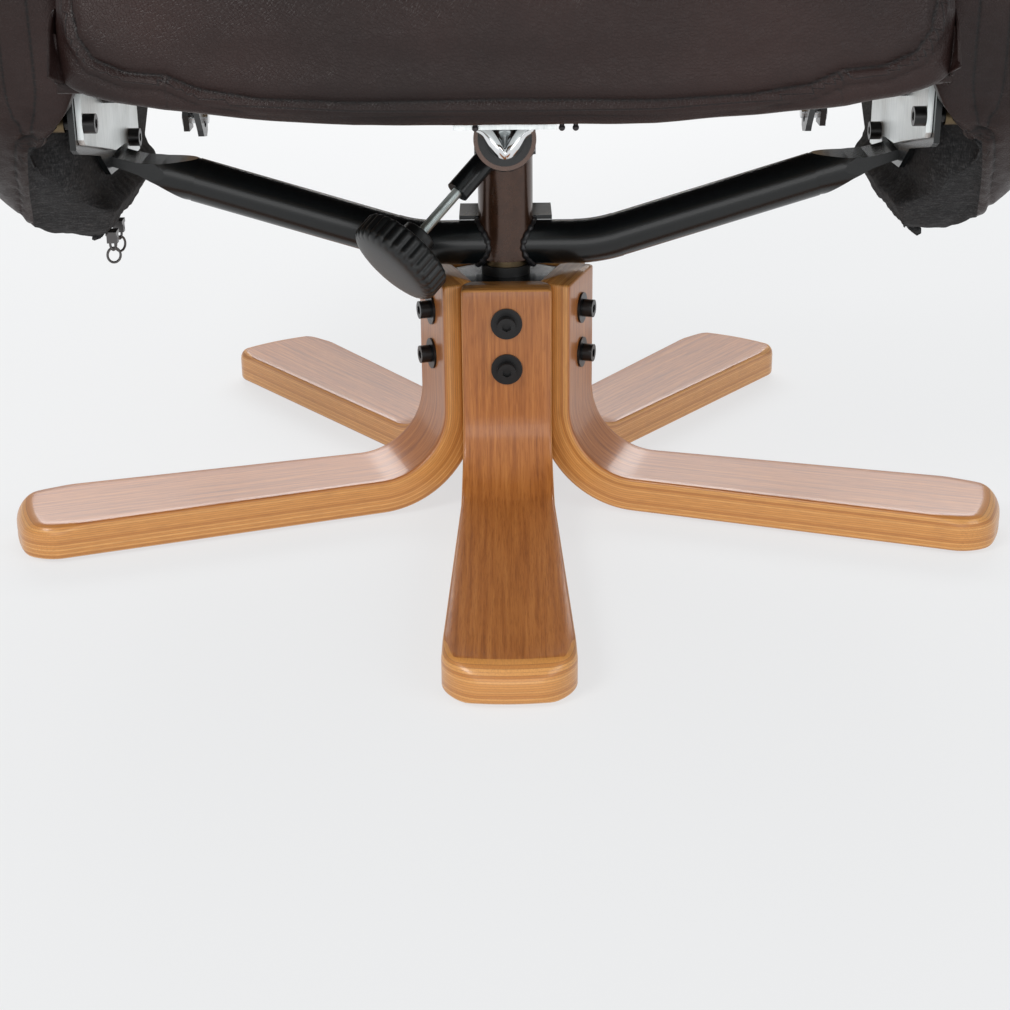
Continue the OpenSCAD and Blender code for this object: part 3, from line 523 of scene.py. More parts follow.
by_slot = {"bentwood_veneer": PLY, "black_steel": BLACK_STEEL, "glide_plastic": BLACK_PLASTIC,
           "powder_coat": POWDER, "black_nylon": BLACK_PLASTIC, "turned_steel": STEEL, "bronze": BRONZE,
           "zinc_plate": ZINC, "chrome_tube": CHROME, "plywood": PLY, "brown_leather": LEATHER,
           "grey_lining": FELT, "zip_metal": ZIP, "spring_wire": WIRE, "white_nylon": NYLON,
           "black_webbing": WEB, "knob_plastic": KNOB}
# the column and its sleeve take the brown coat with the legs' reflection painted in
own = {"column_tube": COLUMN_COAT_PAINTED_REFLECTION, "clamp_sleeve": COLUMN_COAT_PAINTED_REFLECTION, "tension_screw": THREAD}
slots = {s["node"]: s["material_slot"] for s in frame["record"]["subparts"]}
for name, ob in frame["nodes"].items():
    ob.data.materials.clear()
    ob.data.materials.append(own.get(name, by_slot[slots[name]]))

# ---------------------------------------------------------------- camera, light, floor

scene = bpy.context.scene
cam_data = bpy.data.cameras.new("camera")
cam = bpy.data.objects.new("camera", cam_data)
bpy.context.collection.objects.link(cam)
scene.camera = cam
cam_data.lens = 68.14
cam_data.sensor_width = 36.0
cam_data.shift_y = -0.0087
cam_data.shift_x = -0.003
cam.location = (0.0, -1.413, 0.5389)
pitch, roll = math.pi / 2 - 0.38, -0.009
cam.rotation_euler = (Matrix.Rotation(pitch, 3, "X") @ Matrix.Rotation(roll, 3, "Z")).to_euler()
cam_data.clip_end = 60.0
scene.view_settings.view_transform = "Standard"

wd = bpy.data.worlds.new("studio")
scene.world = wd
wd.use_nodes = True
wd.node_tree.nodes["Background"].inputs[0].default_value = (0.93, 0.95, 0.97, 1)
wd.node_tree.nodes["Background"].inputs[1].default_value = 0.42


def area(name, loc, target, size, power, color=(1, 1, 1)):
    """Rectangular lamp at loc, turned to its target."""
    ld = bpy.data.lights.new(name, "AREA")
    ld.shape = "RECTANGLE"
    ld.size, ld.size_y = size
    ld.energy = power
    ld.color = color
    ob = bpy.data.objects.new(name, ld)
    bpy.context.collection.objects.link(ob)
    ob.location = loc
    ob.rotation_euler = (Vector(target) - Vector(loc)).to_track_quat("-Z", "Y").to_euler()


area("key", (-1.9, -2.2, 2.4), (0, -0.1, 0.3), (1.3, 1.3), 58, (1.0, 0.985, 0.97))
area("fill", (2.2, -2.0, 1.5), (0, -0.1, 0.3), (1.8, 1.8), 26, (0.96, 0.98, 1.0))
area("low_front", (0.0, -2.6, 0.5), (0, 0, 0.15), (2.4, 0.9), 12)
area("rim", (0.0, 3.0, 2.2), (0, 0, 0.15), (3.4, 1.6), 95)

fl = bpy.data.meshes.new("studio_floor")
fl.from_pydata([(-60, -60, 0), (60, -60, 0), (60, 60, 0), (-60, 60, 0)], [], [(0, 1, 2, 3)])
floor = bpy.data.objects.new("studio_floor", fl)
bpy.context.collection.objects.link(floor)
fm, fnt, fb = new_material("floor_paper")
fb.inputs["Base Color"].default_value = (0.20, 0.20, 0.20, 1)
fb.inputs["Emission Color"].default_value = (0.965, 0.975, 0.985, 1)
fb.inputs["Emission Strength"].default_value = 0.68
fb.inputs["Roughness"].default_value = 0.9
fb.inputs["Specular IOR Level"].default_value = 0.1
fl.materials.append(fm)

# ---------------------------------------------------------------- legs

LEG_T, BEND_R, HUB, LEG_H, TIP = 25.0, 50.0, 33.0, 168.0, 368.5
BX = HUB + LEG_T + BEND_R                       # centre of the bend
S1 = LEG_H - LEG_T - BEND_R                     # run to the start of the bend
S2 = S1 + (BEND_R + LEG_T / 2) * math.pi / 2    # run to its end
S3 = S2 + TIP - BX                              # run to the tip
TIP_ROUND, TOP_ROUND, LOW_ROUND = 24, 14, 3     # the tip's roundings: in plan, above, below
BEVEL = 2.0


def leg_rz(s, d):
    """Place on the leg's section: s along it from the top, d deep from its outer or upper face."""
    phi = np.clip((s - S1) / (BEND_R + LEG_T / 2), 0, math.pi / 2)
    r = BX - (BEND_R + d) * np.cos(phi)
    z = LEG_T + BEND_R - (BEND_R + d) * np.sin(phi)
    r = r + np.maximum(s - S2, 0)
    z = z + np.maximum(S1 - s, 0)
    return r, z


def round_in(radius, s):
    """How far a rounding of the tip has drawn in at run s: R - sqrt(R^2 - u^2)."""
    if s <= S3 - radius:
        return 0.0
    return radius - math.sqrt(max(radius ** 2 - (s - S3 + radius) ** 2, 0.0))


def leg_ring(h, d0, d1, g, c):
    """Rounded rectangle of half width h from depth d0 to d1, with corners g above and c below:
    rows of across, depth and share of sawn edge."""
    quarter = math.pi / 2
    arc = np.linspace(0, quarter, 5)[1:-1]

    def sawn(share):
        return 0.9 if g > 3 else share

    pts = [(t, d0, 0.0) for t in np.linspace(-h + g, h - g, 15)]
    pts += [(h - g + g * math.sin(a), d0 + g - g * math.cos(a), sawn(a / quarter)) for a in arc]
    pts += [(h, d, 1.0) for d in np.linspace(d0 + g, d1 - c, 13)]
    pts += [(h - c + c * math.cos(a), d1 - c + c * math.sin(a), 1 - a / quarter) for a in arc]
    pts += [(t, d1, 0.0) for t in np.linspace(h - c, -h + c, 15)]
    pts += [(-h + c - c * math.sin(a), d1 - c + c * math.cos(a), a / quarter) for a in arc]
    pts += [(-h, d, 1.0) for d in np.linspace(d1 - c, d0 + g, 13)]
    pts += [(-h + g - g * math.cos(a), d0 + g - g * math.sin(a), sawn(1 - a / quarter)) for a in arc]
    return np.array(pts)


def leg_surface(name, turn, index):
    """Closed loft of rounded-rectangle rings along the bent leg.
    Ring (t, d): half width h(s) and depth from a(s) to T - b(s), corners of BEVEL;
    h shrinks as R - sqrt(R^2 - u^2) at the tip and is cut by the 36 degree mitre at the hub."""
    flat_end = S3 - TIP_ROUND
    tip = S3 - TIP_ROUND * (1 - np.sin(np.linspace(0, math.pi / 2, 15)))
    stations = [(0.0, BEVEL), (0.25 * BEVEL, 0.45 * BEVEL), (0.6 * BEVEL, 0.12 * BEVEL)]
    for run in (np.linspace(BEVEL, S1, 12), np.linspace(S1, S2, 26), np.linspace(S2, flat_end, 34), tip):
        stations += [(s, 0.0) for s in run[:-1]]
    stations += [(S3 - 0.01, 0.6), (S3, BEVEL)]
    a = math.radians(turn)
    rings, lam, rim = [], [], []
    for s, inset in stations:
        h = 32.3 + 1.2 * sstep(S1, S2, s) + 8.5 * np.clip((s - S2) / (S3 - S2), 0, 1)
        h = h - round_in(TIP_ROUND, s) - inset
        d0, d1 = round_in(TOP_ROUND, s) + inset, LEG_T - round_in(LOW_ROUND, s) - inset
        c = min(BEVEL, (d1 - d0) / 3, h / 2.2)
        g = min(BEVEL + 5.5 * sstep(S3 - 45, S3 - 16, s), (d1 - d0) / 2.4, h / 2.2)
        p = leg_ring(h, d0, d1, g, c)
        r, z = leg_rz(np.full(len(p), s), p[:, 1])
        r = r - p[:, 0] ** 2 / 300.0 * sstep(S3 - 70, S3, s)
        lim = np.maximum(r * math.tan(math.radians(36)) - 0.35, 5)
        t = np.clip(p[:, 0], -lim, lim) if s < S2 else p[:, 0]
        rings.append(np.stack([r * math.cos(a) - t * math.sin(a), r * math.sin(a) + t * math.cos(a), z], 1))
        run = np.full(len(p), s / 1000 + index * 10.0)
        lam.append(np.stack([run, t / 1000, np.clip(p[:, 1], 0.4, 24.6) / 1000], 1))
        end = 1.0 if (s < 1.6 or s > S3 - 13.0) else 0.0
        rim.append(np.maximum(p[:, 2], end))
    ob = loft(name, rings, WOOD, {"lam": lam, "rim": rim})
    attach(ob, "base")
    return ob


LEGS = {"leg_front": -90, "leg_right_front": -18, "leg_right_rear": 54, "leg_left_rear": 126,
        "leg_left_front": 198}
for k, (name, turn) in enumerate(LEGS.items()):
    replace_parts(leg_surface("bent_" + name, turn, k), name)

# ---------------------------------------------------------------- knob, thread, slide end, welds


def knob_surface():
    """Surface of revolution z(r) about the screw: hub, back face, rim with 30 ribs
    r = R - 2.2 (1 - |cos(15 a)|^0.6), and a smooth domed outer face."""
    prof = [(4.2, 95.2), (11.4, 95.0), (12.4, 95.6), (12.5, 96.4), (12.7, 104.5), (13.6, 106.4), (16, 107.3),
            (24, 107.5), (32.2, 107.8), (33.9, 108.5), (34.8, 109.8)]
    prof += [(35.4, z) for z in np.linspace(110.8, 123, 12)]
    prof += [(34.9, 124.6), (33.6, 126.4), (31.4, 127.9), (28, 129.0), (23, 129.8), (16, 130.3),
             (8, 130.5), (2, 130.6)]
    n = 30 * 9
    a = np.linspace(0, 2 * np.pi, n, endpoint=False)
    rings = []
    for r, z in prof:
        w = sstep(107.5, 109.2, z) * (1 - sstep(125.5, 128.5, z)) * (r > 30)
        rr = r - 2.2 * w * (1 - np.abs(np.cos(15 * a)) ** 0.6)
        rings.append(screw(np.stack([rr * np.cos(a), rr * np.sin(a), np.full(n, z)], 1)))
    ob = loft("knob_moulding", rings, KNOB)
    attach(ob, "screw")
    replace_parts(ob, "tension_knob")


def thread_surface():
    """M8 x 1.25 thread: r = 4 - 0.65 tri(z / 1.25 - a / 2 pi), closed by a fan at both ends."""
    n, m = 30, 640
    a = np.linspace(0, 2 * np.pi, n, endpoint=False)
    z = np.linspace(19.9, 109.8, m)
    ph = z[:, None] / 1.25 - a[None, :] / (2 * np.pi)
    tri = np.abs(2 * (ph - np.floor(ph + 0.5)))
    r = 4.0 - 0.65 * tri
    r = np.where(z[:, None] < 24, np.minimum(r, 3.0), r)
    p = np.stack([r * np.cos(a), r * np.sin(a), np.broadcast_to(z[:, None], r.shape)], -1)
    ob = loft("screw_thread", screw(p), THREAD)
    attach(ob, "screw")
    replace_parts(ob, "tension_screw")


def slide_end():
    """Chrome tube of 28 mm crushed to a folded trough at its front end: a loft that blends the circle
    into a V-shaped loop with two rounded wings as the square of the run."""
    n = 96
    a = np.linspace(0, 2 * np.pi, n, endpoint=False) + math.pi / 2
    circle = np.stack([14 * np.cos(a), 14 * np.sin(a)], 1)
    right = [(5, -12.2), (9.5, -6.5), (14.5, 2.0), (19, 4.6), (20.6, 7.2), (19, 9.6), (13, 9.4),
             (9, 7.2), (4.5, 0.5)]
    loop = [(0, -7.5)] + [(-x, z) for x, z in right[::-1]] + [(0, -13.6)] + right
    v = smooth_loop(loop, n, 1.2)
    k = int(np.argmin(np.hypot(v[:, 0], v[:, 1] + 7.5)))
    v = np.roll(v, -k, 0)
    rings, half = [], n // 2
    for y in [208, 60, 0, -30, -40] + list(np.linspace(-44, -62, 16)) + [-66.5, -67.1]:
        t = float(sstep(-44, -63, y)) if y < -44 else 0.0
        p = circle * (1 - t) + v * t
        rings.append(slide(np.stack([p[:, 0], np.full(n, y), p[:, 1]], 1)))
    rings = np.array(rings)
    faces = loft_faces(len(rings), n, (True, False))
    o = (len(rings) - 1) * n
    for j in range(n // 4):   # the end is closed by a strip of faces over each wing
        left = (o + j, o + j + 1, o + half - j - 1, o + half - j)
        right = (o + half + j, o + half + j + 1, o + n - j - 1, o + (n - j) % n)
        faces += [tuple(dict.fromkeys(left)), tuple(dict.fromkeys(right))]
    pts = np.vstack([rings.reshape(-1, 3), rings[0].mean(0)])
    ob = build("slide_tube_chrome", pts, [f[::-1] for f in faces], CHROME)
    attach(ob, "seat")
    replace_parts(ob, "slide_rod")


def bead(name, path, r, seed, body="carriage", ripple=1.0, mat=WELD):
    """Closed rope along a loop, of radius r (1 + ripple (0.22 cos(pi k / 2) + 0.12 noise)) at its
    k-th point: a weld bead, or a plain wire where ripple is 0."""
    p = np.asarray(path, float)
    m, n = len(p), 10
    t = np.roll(p, -1, 0) - np.roll(p, 1, 0)
    t /= np.linalg.norm(t, axis=1)[:, None]
    up = np.tile([0.13, 0.21, 0.97] if ripple else [0.6, 0.8, 0.01], (m, 1))
    b = np.cross(t, up)
    b /= np.linalg.norm(b, axis=1)[:, None]
    c = np.cross(b, t)
    rng = np.random.default_rng(seed)
    wave = 0.22 * np.cos(np.arange(m) * 2 * np.pi / 4.0) + 0.12 * rng.normal(size=m)
    rr = r * (1 + ripple * wave)
    a = np.linspace(0, 2 * np.pi, n, endpoint=False)[None, :, None]
    rings = p[:, None, :] + rr[:, None, None] * (b[:, None, :] * np.cos(a) + c[:, None, :] * np.sin(a))
    i, j = np.meshgrid(np.arange(m), np.arange(n), indexing="ij")
    i2, j2 = (i + 1) % m, (j + 1) % n
    faces = np.stack([i * n + j, i * n + j2, i2 * n + j2, i2 * n + j], -1).reshape(-1, 4)
    ob = build(name, rings.reshape(-1, 3), faces.tolist(), mat)
    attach(ob, body)
    return ob


def zip_ring(name, y, z, turn, body, pull):
    """Wire pull of a zip: an oval ring and its short link, each a closed rope about an ellipse
    (w cos a, h sin a - drop)."""
    a = np.linspace(0, 2 * np.pi, 48, endpoint=False)
    for part, (w, h, drop) in {"link": (2.2, 4.6, 4.0), "ring": (4.9, 5.6, 12.6)}.items():
        u, v = w * np.cos(a), h * np.sin(a) - drop
        path = np.stack([-294 + u * math.cos(turn), y + u * math.sin(turn), z + v], 1)
        ob = bead(name + "_" + part, path, 0.95, 3, body, ripple=0.0, mat=ZIP)
        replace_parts(ob, pull)


def welds():
    """Beads where a round piece of radius r meets a round wall of radius R: loops at
    sqrt(R^2 - u^2) from the wall's axis. The last one goes round the column, under the sleeve."""
    a = np.linspace(0, 2 * np.pi, 76, endpoint=False)
    for side, nm in ((-1, "left"), (1, "right")):
        y, z = 16.3 * np.sin(a), 188.5 + 16.3 * np.cos(a)
        x = side * np.sqrt(20.6 ** 2 - np.clip(y, -20, 20) ** 2)
        bead("weld_support_" + nm, np.stack([x, y, z], 1), 1.9, 5 + side)
    x, y = 8.9 * np.cos(a), 8.9 * np.sin(a)
    bead("weld_boss", screw(np.stack([x, y, np.sqrt(np.maximum(22.4 ** 2 - x ** 2, 0))], 1)), 1.7, 11)
    x, y = 20.4 * np.cos(a), 20.4 * np.sin(a)
    z = SLIDE_Z - y * math.tan(TILT) - np.sqrt(np.maximum(22.2 ** 2 - x ** 2, 1)) / math.cos(TILT)
    bead("weld_column", np.stack([x, y, z], 1), 1.3, 12)


zip_ring("zip_pull_a", 26.0, 186.9, 0.4, "zip_front", "zip_pull_front")
zip_ring("zip_pull_b", 52.0, 189.0, 0.9, "zip_rear", "zip_pull_rear")
knob_surface()
thread_surface()
slide_end()
welds()


# ---------------------------------------------------------------- upholstery

def box_form(loop, half_w, r_end, across, cap):
    """Rings of a closed padded form: the outline loop (y, n) swept along x. Near each end the outline is
    drawn in along its normals by R - sqrt(R^2 - u^2) to round the end, then closed by shrinking rings.
    Returns the rings, end (0 on the sweep, 1 at the middle of an end) and whether the loop runs
    anticlockwise."""
    n = len(loop)
    nrm = loop_normals(loop)
    r_end = np.broadcast_to(np.asarray(r_end, float), (n,))
    rmax = r_end.max()
    round_x = [-half_w + rmax * (1 - math.sin(t)) for t in np.linspace(0, math.pi / 2, 15)[::-1]]
    mid_x = np.linspace(-half_w + rmax, half_w - rmax, across)[1:-1]
    sweep = []
    for x in round_x + list(mid_x) + [-x for x in round_x[::-1]]:
        u = np.clip((abs(x) - (half_w - r_end)) / r_end, 0, 1)
        delta = r_end * (1 - np.sqrt(np.maximum(1 - u ** 2, 0)))
        q = loop - nrm * delta[:, None]
        sweep.append(np.stack([np.full(n, x), q[:, 0], q[:, 1]], 1))
    ctr = loop.mean(0)
    heads, tails = [], []
    for k in range(1, cap + 1):
        f = 1 - k / (cap + 1)
        for edge, rows in ((sweep[0], heads), (sweep[-1], tails)):
            q = edge.copy()
            q[:, 1:] = ctr + (q[:, 1:] - ctr) * f
            rows.append(q)
    rings = np.array(heads[::-1] + sweep + tails)
    end = np.concatenate([np.linspace(1, 0.05, cap), np.zeros(len(sweep)), np.linspace(0.05, 1, cap)])
    area = np.sum(loop[:, 0] * np.roll(loop[:, 1], -1) - np.roll(loop[:, 0], -1) * loop[:, 1])
    return rings, np.repeat(end[:, None], n, 1), area > 0


def to_path(px, py, path):
    """Distance from each point to a polyline and the run along it of the nearest place."""
    path = np.asarray(path, float)
    best, run, done = np.full(px.shape, 1e9), np.zeros(px.shape), 0.0
    for a, b in zip(path[:-1], path[1:]):
        d = b - a
        ln = float(np.hypot(*d))
        t = np.clip(((px - a[0]) * d[0] + (py - a[1]) * d[1]) / ln ** 2, 0, 1)
        q = np.hypot(px - a[0] - t * d[0], py - a[1] - t * d[1])
        run = np.where(q < best, done + t * ln, run)
        best = np.minimum(q, best)
        done += ln
    return best, run


def seat_piece():
    """Seat cushion: outline in the slide frame with a lip hanging in front, seam near the lip's edge."""
    loop = smooth_loop([(-300, 62), (-299, 34), (-296, 18), (-290, 15), (-284, 18), (-281.5, 40),
                        (-278, 59.5), (-250, 60.2), (-100, 60.2), (100, 60.2), (122, 62), (130, 78),
                        (130, 118), (122, 136), (104, 144), (20, 143), (-80, 142), (-180, 145),
                        (-232, 147), (-262, 141), (-284, 122), (-296, 94)], 420, 3.2)
    top = sstep(70, 110, loop[:, 1])
    rings, end, ccw = box_form(loop, 258, 20 + 14 * top, across=150, cap=16)
    x, y, n = rings[..., 0], rings[..., 1], rings[..., 2]
    front = 1 - sstep(-283, -262, y)
    ax = np.abs(x)
    lift = np.interp(ax, [0, 85, 157, 195, 225, 258], [-2.4, -2.0, 3.0, 6.0, 11.0, 20.0])
    low = np.clip((62 - n) / 46, 0, 1)
    n2 = n + lift * low * front
    belly = 9 * np.exp(-((n - 92) / 42.0) ** 2) * front * (1 - (ax / 262) ** 4)
    y2 = y - belly + 8 * (ax / 258) ** 6 * front
    crown = 10 * (1 - (ax / 258) ** 2.4) * sstep(100, 135, n) * sstep(-300, -200, y)
    crown = crown * (1 - 0.5 * sstep(40, 130, y))
    n2 = n2 + crown
    rings = np.stack([x, y2, n2], -1)
    path = [(0, 26.9), (85, 26), (138, 28.5), (172, 33.6), (191, 41.5), (214, 43.5), (232, 51),
            (241, 64), (245, 85), (246.5, 112), (247, 160)]
    dist, run = to_path(ax, n2, path)
    above = (n2 > np.interp(ax, *np.array(path[:9]).T)) & (ax < 247)
    f = np.where(above, dist, -dist)
    f = np.where(y > -262, np.where(n2 > 100, 247 - ax, 60), f)
    under = (n < 61) & (y > -285)
    f = np.where(under, 30, f)
    f = np.where(end > 0.01, -60, f)
    run = np.where(y > -262, y, run)
    seam2 = np.where(np.abs(f) < np.abs(f + 8.5), f, np.abs(f + 8.5) + 0.55)
    tick = np.where((f < 0) & (y < -280), np.abs(ax - 192), 60)
    seam2 = np.where(tick < np.abs(seam2), tick, seam2)
    ob = loft("seat_upholstery", slide(rings), LEATHER, {"seam_d": seam2, "run": run}, flip=not ccw)
    P = mesh_points(rings)
    F = flat(f)
    am = -3.0 * np.exp(-(F / 1.7) ** 2) - 1.3 * np.exp(-((F + 8.5) / 1.4) ** 2)
    am += 1.7 * np.exp(-((F + 4.3) / 3.0) ** 2) + 1.2 * np.exp(-((F - 9) / 8.0) ** 2)
    soft = np.where(flat(under.astype(float)) > 0.5, 0, 1)
    pucker = np.exp(-((F - 6) / 9.0) ** 2) * field(P * np.array([1, 0.25, 0.25]), 16, 3) * 0.45
    am += soft * (1.7 * field(P, 150, 1) + 0.5 * field(P, 46, 2) + pucker)
    push(ob, am)
    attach(ob, "seat")
    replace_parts(ob, "seat_cushion", "seat_border")


def skirt_piece(side):
    """Leather skirt over a side rail: a rounded bar |cos a|^0.5, |sin a|^0.35 lofted back along y."""
    nm = "left" if side < 0 else "right"
    ys = np.concatenate([[-283.5, -283], np.linspace(-282, 126, 90), [127, 127.5]])
    rings = []
    a = np.linspace(0, 2 * np.pi, 40, endpoint=False)
    for k, y in enumerate(ys):
        low = 34 + 1.5 * math.sin(y / 37.0) + 10 * float(1 - sstep(-290, -240, y)) * 0.6
        high = 66.0
        t = 1.9 * (0.35 if k in (0, len(ys) - 1) else 1.0)
        c = (low + high) / 2
        h = (high - low) / 2
        sx = 256.9 + t * np.sign(np.cos(a)) * np.abs(np.cos(a)) ** 0.5
        sx = sx - 1.2 * float(1 - sstep(-284, -262, y))
        sz = c + h * np.sign(np.sin(a)) * np.abs(np.sin(a)) ** 0.35
        rings.append(np.stack([side * sx, np.full(40, y), sz], 1))
    rings = np.array(rings)
    ob = loft("seat_skirt_" + nm, slide(rings), LEATHER,
              {"seam_d": np.abs(rings[..., 2] - 39.5) + 0.2, "run": rings[..., 1]}, flip=side > 0)
    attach(ob, "seat")


def front_skirt():
    """Leather over the front rail, between it and the hanging lip: a rounded bar lofted across."""
    xs = np.concatenate([[-257, -256.6], np.linspace(-256, 256, 80), [256.6, 257]])
    a = np.linspace(0, 2 * np.pi, 40, endpoint=False)
    rings = []
    for k, x in enumerate(xs):
        low = 33.5 + 1.0 * math.sin(x / 31.0)
        c, h = (low + 59.5) / 2, (59.5 - low) / 2
        t = 4.2 * (0.4 if k in (0, len(xs) - 1) else 1.0)
        rings.append(np.stack([np.full(40, x), -275.5 + t * np.sign(np.cos(a)) * np.abs(np.cos(a)) ** 0.5,
                               c + h * np.sign(np.sin(a)) * np.abs(np.sin(a)) ** 0.35], 1))
    rings = np.array(rings)
    ob = loft("seat_skirt_front", slide(rings), LEATHER,
              {"seam_d": np.abs(rings[..., 2] - 39.5) + 0.2, "run": rings[..., 0]}, flip=True)
    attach(ob, "seat")


def arm_piece(side):
    """Arm: outline in Y and Z with a soft rim, lobes inward at front and foot, felt below the hem.
    Polar rings from the inner face over the rim (radii r1, r2) to the outer face."""
    nm = "left" if side < 0 else "right"
    loop = smooth_loop([(-153, 308), (-139, 288), (-112, 263), (-31, 204), (18, 188), (82, 194), (153, 229),
                        (236, 297), (266, 339), (268, 470), (265, 512), (241, 553), (204, 565),
                        (20, 566), (-82, 565), (-127, 551), (-153, 508), (-155, 440), (-154, 360)], 460, 9)
    n = len(loop)
    nrm = loop_normals(loop)
    ctr = np.array([50.0, 385.0])
    lowness = 1 - sstep(215, 300, loop[:, 1])
    r1 = np.full(n, 12.0)
    r2 = 46 - 14 * lowness
    x_in, x_out = 287.2, 391.0
    rings = []
    for f in np.linspace(0.04, 1, 34):
        q = (loop - nrm * r1[:, None])
        q = ctr + (q - ctr) * f
        rings.append(np.stack([np.full(n, x_in), q[:, 0], q[:, 1]], 1))
    for t in np.linspace(0, math.pi / 2, 16)[1:]:
        q = loop - nrm * (r1 * (1 - math.sin(t)))[:, None]
        rings.append(np.stack([x_in + r1 * (1 - math.cos(t)), q[:, 0], q[:, 1]], 1))
    for w in np.linspace(0, 1, 12)[1:-1]:
        rings.append(np.stack([x_in + r1 + (x_out - r2 - x_in - r1) * w, loop[:, 0], loop[:, 1]], 1))
    for t in np.linspace(0, math.pi / 2, 20):
        q = loop - nrm * (r2 * (1 - math.cos(t)))[:, None]
        rings.append(np.stack([x_out - r2 * (1 - math.sin(t)), q[:, 0], q[:, 1]], 1))
    for f in np.linspace(1, 0.04, 30)[1:]:
        q = smooth_loop(loop - nrm * r2[:, None], n, 3 + 26 * (1 - f))
        q = ctr + (q - ctr) * f
        rings.append(np.stack([np.full(n, x_out), q[:, 0], q[:, 1]], 1))
    rings = np.array(rings)
    x, y, z = rings[..., 0], rings[..., 1], rings[..., 2]
    inner = 1 - sstep(x_in, x_in + 62, x)
    lobe = 17 * (1 - sstep(-141, -124, y)) * sstep(284, 306, z)
    bulge = np.maximum(lobe, 15 * (1 - sstep(224, 241, z)))
    bulge = np.maximum(bulge, 9 * sstep(368, 400, z))
    x2 = x - bulge * inner
    outer = sstep(x_out - 30, x_out, x)
    keel_out = np.interp(z, [186, 196, 208, 225, 254, 300, 345], [315, 329, 340, 351, 364, 381, 390])
    keel_in = np.interp(z, [186, 193, 198, 206, 217, 228, 242], [307, 303, 288, 284, 276, 271, 272])
    x2 = np.where(x2 > 300, 300 + (x2 - 300) * (keel_out - 300) / 91, x2)
    x2 = np.where((x2 < 300) & (z < 242), np.maximum(x2, keel_in), x2)
    lobe_in = np.interp(z, [283, 290, 300, 313, 330, 350], [310, 303, 293, 281, 273, 270])
    fore = 1 - sstep(-122, -84, y)
    x2 = np.where(x2 < 312, x2 + np.maximum(lobe_in - x2, 0) * fore, x2)
    x2 = x2 + 1.5 * outer * (1 - ((z - 380) / 200) ** 2) * (1 - ((y - 50) / 220) ** 2)
    hem = np.minimum(287 + 0.31 * (y + 143) + 3 * np.sin((y + 143) / 60.0), 352)
    xb = 307 + np.clip((y + 143) / 153, 0, 1) ** 0.8 * 38
    lin = np.maximum(z - hem, x2 - xb)
    lin = np.maximum(lin, -(y + 146) * 0.8)
    half = 9.5 * sstep(285, 330, z)
    on_rim = (x > x_in + 2) & (x < x_out - 8)
    band = np.abs(x2 - 307.0) - half - 0.6
    band = np.where(on_rim & (lin > 0) & ((y < -60) | (z > 400)), band, 60)
    hemd = lin - 8.0
    seam = np.where(np.abs(band) < np.abs(hemd), band, np.where(lin > 0, hemd, 60))
    seam = np.where((x2 > 330) & (lin < 30), np.maximum(np.abs(lin - 1.0), 0.8), seam)
    seam = np.where(x > x_out - 40, 60, seam)
    rings = np.stack([side * x2, y, z], -1)
    ob = loft("arm_upholstery_" + nm, rings, ARM_LEATHER,
              {"seam_d": seam, "run": np.where(np.abs(band) < 30, z - y, y + x2), "lining_d": lin},
              flip=side < 0)
    P = mesh_points(rings)
    P[:, 0] = np.abs(P[:, 0])
    X, Y, Z = P.T
    B, L = flat(band), flat(lin)
    by_plate = (Y > -134) & (Y < 275) & (Z > 236) & (Z < 372) & (X < 300)
    free = 1 - by_plate.astype(float)
    am = -2.8 * np.exp(-(B / 1.6) ** 2)
    am += 1.6 * np.exp(-((B + 5) / 4.0) ** 2) * (B < 0) + 1.6 * np.exp(-((B - 10) / 9.0) ** 2) * (B > 0)
    am += (1.4 * np.exp(-((L - 4.0) / 3.0) ** 2) - 1.8 * np.exp(-((L - 8.0) / 1.5) ** 2)) * (L > 0)
    am += -2.2 * (1 - sstep(-3.5, 0.3, L)) * free
    folds = field(P * np.array([1.0, 1.0, 0.35]), 44, 21 + (side > 0)) + 0.5 * field(P, 18, 23)
    am += np.where(L < 0, 1.5 * folds, 1.2 * field(P, 120, 24) + 0.35 * field(P, 34, 25)) * free
    tip = np.exp(-(((Y + 146) / 26) ** 2 + ((Z - 308) / 26) ** 2 + ((X - 307) / 16) ** 2))
    am *= 1 - 0.85 * sstep(380, 388, X) * (B > 50)
    am += tip * 1.6 * field(P * np.array([0.3, 1, 1.5]), 9, 26)
    push(ob, am)
    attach(ob, "carriage")
    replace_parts(ob, "arm_pad_" + nm, "arm_lining_" + nm)
    panel_piece(side, nm, loop, nrm)


def panel_piece(side, nm, loop, nrm):
    """Plywood panel inside the arm: the arm's outline drawn in by 17 mm and cut back at the lower
    front, with edges eased by 0.6 mm."""
    edge = loop - nrm * 17.0
    edge[:, 0] = np.where(edge[:, 1] < 350, np.maximum(edge[:, 0], -78), edge[:, 0])
    rings = []
    for x, inset in ((289.0, 0.6), (289.6, 0.0), (302.4, 0.0), (303.0, 0.6)):
        q = edge - nrm * inset
        rings.append(np.stack([np.full(len(loop), side * x), q[:, 0], q[:, 1]], 1))
    ob = loft("arm_panel_" + nm, rings, PLY, flip=side < 0, smooth=False)
    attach(ob, "carriage")
    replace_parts(ob, "arm_frame_" + nm)


